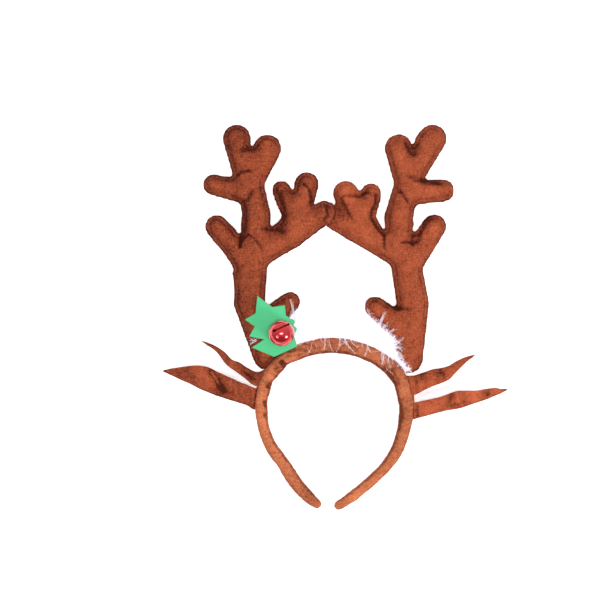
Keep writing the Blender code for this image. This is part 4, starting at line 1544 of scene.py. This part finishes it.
class HEADBAND_OT_stage(bpy.types.Operator):
    """Set the pale floor, the soft light and the camera over the headband"""

    bl_idname = "headband.stage"
    bl_label = "Stage"

    def execute(self, context):
        settings = context.scene.headband_stage
        scene = context.scene
        scene.view_settings.view_transform = "Standard"
        bpy.ops.mesh.primitive_plane_add(size=30.0, location=(0.0, 0.0, 0.0))
        floor = context.active_object
        floor.name = "floor"
        material, _, _ = new_material(
            "pale floor", 0.9, Specular_IOR_Level=0.0, Base_Color=(0.93, 0.93, 0.93, 1.0),
            Emission_Color=(1.0, 1.0, 1.0, 1.0), Emission_Strength=settings.floor_glow)
        floor.data.materials.append(material)
        lens = bpy.data.cameras.new("camera")
        lens.lens = settings.lens
        distance = settings.view_width / 2 / (lens.sensor_width / 2 / settings.lens)
        camera = add_object("camera", lens)
        camera.location = LOOKED_AT + Vector((0.0, 0.0, distance))
        scene.camera = camera
        for name, spot, width, height, watts in (
            # name, place, width, height, power
            ("key", (1.25, -0.95, 1.05), 0.5, 0.5, settings.key),
            ("front", (0.0, -0.12, 2.15), 0.9, 0.3, settings.front),
            ("side", (-1.0, -0.9, 1.2), 0.4, 0.4, settings.side),
        ):
            light = bpy.data.lights.new(name, "AREA")
            light.shape = "RECTANGLE"
            light.size = width
            light.size_y = height
            light.energy = watts
            lamp = add_object(name, light)
            lamp.location = spot
            away = Vector(spot) - LOOKED_AT
            lamp.rotation_euler = away.to_track_quat("Z", "Y").to_euler()
        world = bpy.data.worlds.new("soft sky")
        world.use_nodes = True
        tree = world.node_tree
        way = add_node(tree, "ShaderNodeTexCoord").outputs["Generated"]
        upward = add_node(tree, "ShaderNodeSeparateXYZ", {0: way}).outputs["Y"]
        bright = add_node(
            tree, "ShaderNodeMapRange",
            {"Value": upward, "From Min": -0.7, "From Max": 0.7,
             "To Min": 1 - settings.sky_slope, "To Max": 1 + settings.sky_slope})
        strength = maths(tree, "MULTIPLY", bright.outputs[0], settings.sky)
        tree.links.new(strength, tree.nodes["Background"].inputs["Strength"])
        tree.nodes["Background"].inputs["Color"].default_value = (1.0, 1.0, 1.0, 1.0)
        scene.world = world
        return {"FINISHED"}


class HEADBAND_PT_looks(bpy.types.Panel):
    """Lists the headband's pieces and their settings"""

    bl_label = "Reindeer Headband"
    bl_idname = "HEADBAND_PT_looks"
    bl_space_type = "VIEW_3D"
    bl_region_type = "UI"
    bl_category = "Headband"

    def draw(self, context):
        layout = self.layout
        for label, settings, operator in PIECES:
            box = layout.box()
            box.label(text=label)
            group = getattr(context.scene, settings)
            for name in group.__annotations__:
                box.prop(group, name)
            if operator:
                box.operator(operator)


PIECES = (
    # label, settings, operator
    ("Plush", "headband_plush", ""),
    ("Antlers", "headband_antlers", "headband.antlers"),
    ("Sleeve", "headband_sleeve", "headband.sleeve"),
    ("Ears", "headband_ears", "headband.ears"),
    ("Leaf", "headband_leaf", "headband.leaf"),
    ("Bell", "headband_bell", "headband.bell"),
    ("Down", "headband_down", "headband.down"),
    ("Stage", "headband_stage", "headband.stage"),
)

SETTINGS = {
    "headband_plush": PlushSettings,
    "headband_antlers": AntlerSettings,
    "headband_sleeve": SleeveSettings,
    "headband_ears": EarSettings,
    "headband_leaf": LeafSettings,
    "headband_bell": BellSettings,
    "headband_down": DownSettings,
    "headband_stage": StageSettings,
}

CLASSES = (
    HEADBAND_OT_antlers,
    HEADBAND_OT_sleeve,
    HEADBAND_OT_ears,
    HEADBAND_OT_leaf,
    HEADBAND_OT_bell,
    HEADBAND_OT_down,
    HEADBAND_OT_stage,
    HEADBAND_PT_looks,
)


def register():
    for group in SETTINGS.values():
        bpy.utils.register_class(group)
    for shown in CLASSES:
        bpy.utils.register_class(shown)
    for name, group in SETTINGS.items():
        setattr(bpy.types.Scene, name, PointerProperty(type=group))


def unregister():
    for name in SETTINGS:
        delattr(bpy.types.Scene, name)
    for shown in reversed(CLASSES):
        bpy.utils.unregister_class(shown)
    for group in reversed(SETTINGS.values()):
        bpy.utils.unregister_class(group)


def main():
    register()
    bpy.ops.headband.antlers()
    bpy.ops.headband.sleeve()
    bpy.ops.headband.ears()
    bpy.ops.headband.leaf()
    bpy.ops.headband.bell()
    bpy.ops.headband.down()
    bpy.ops.headband.stage()


if __name__ == "__main__":
    main()
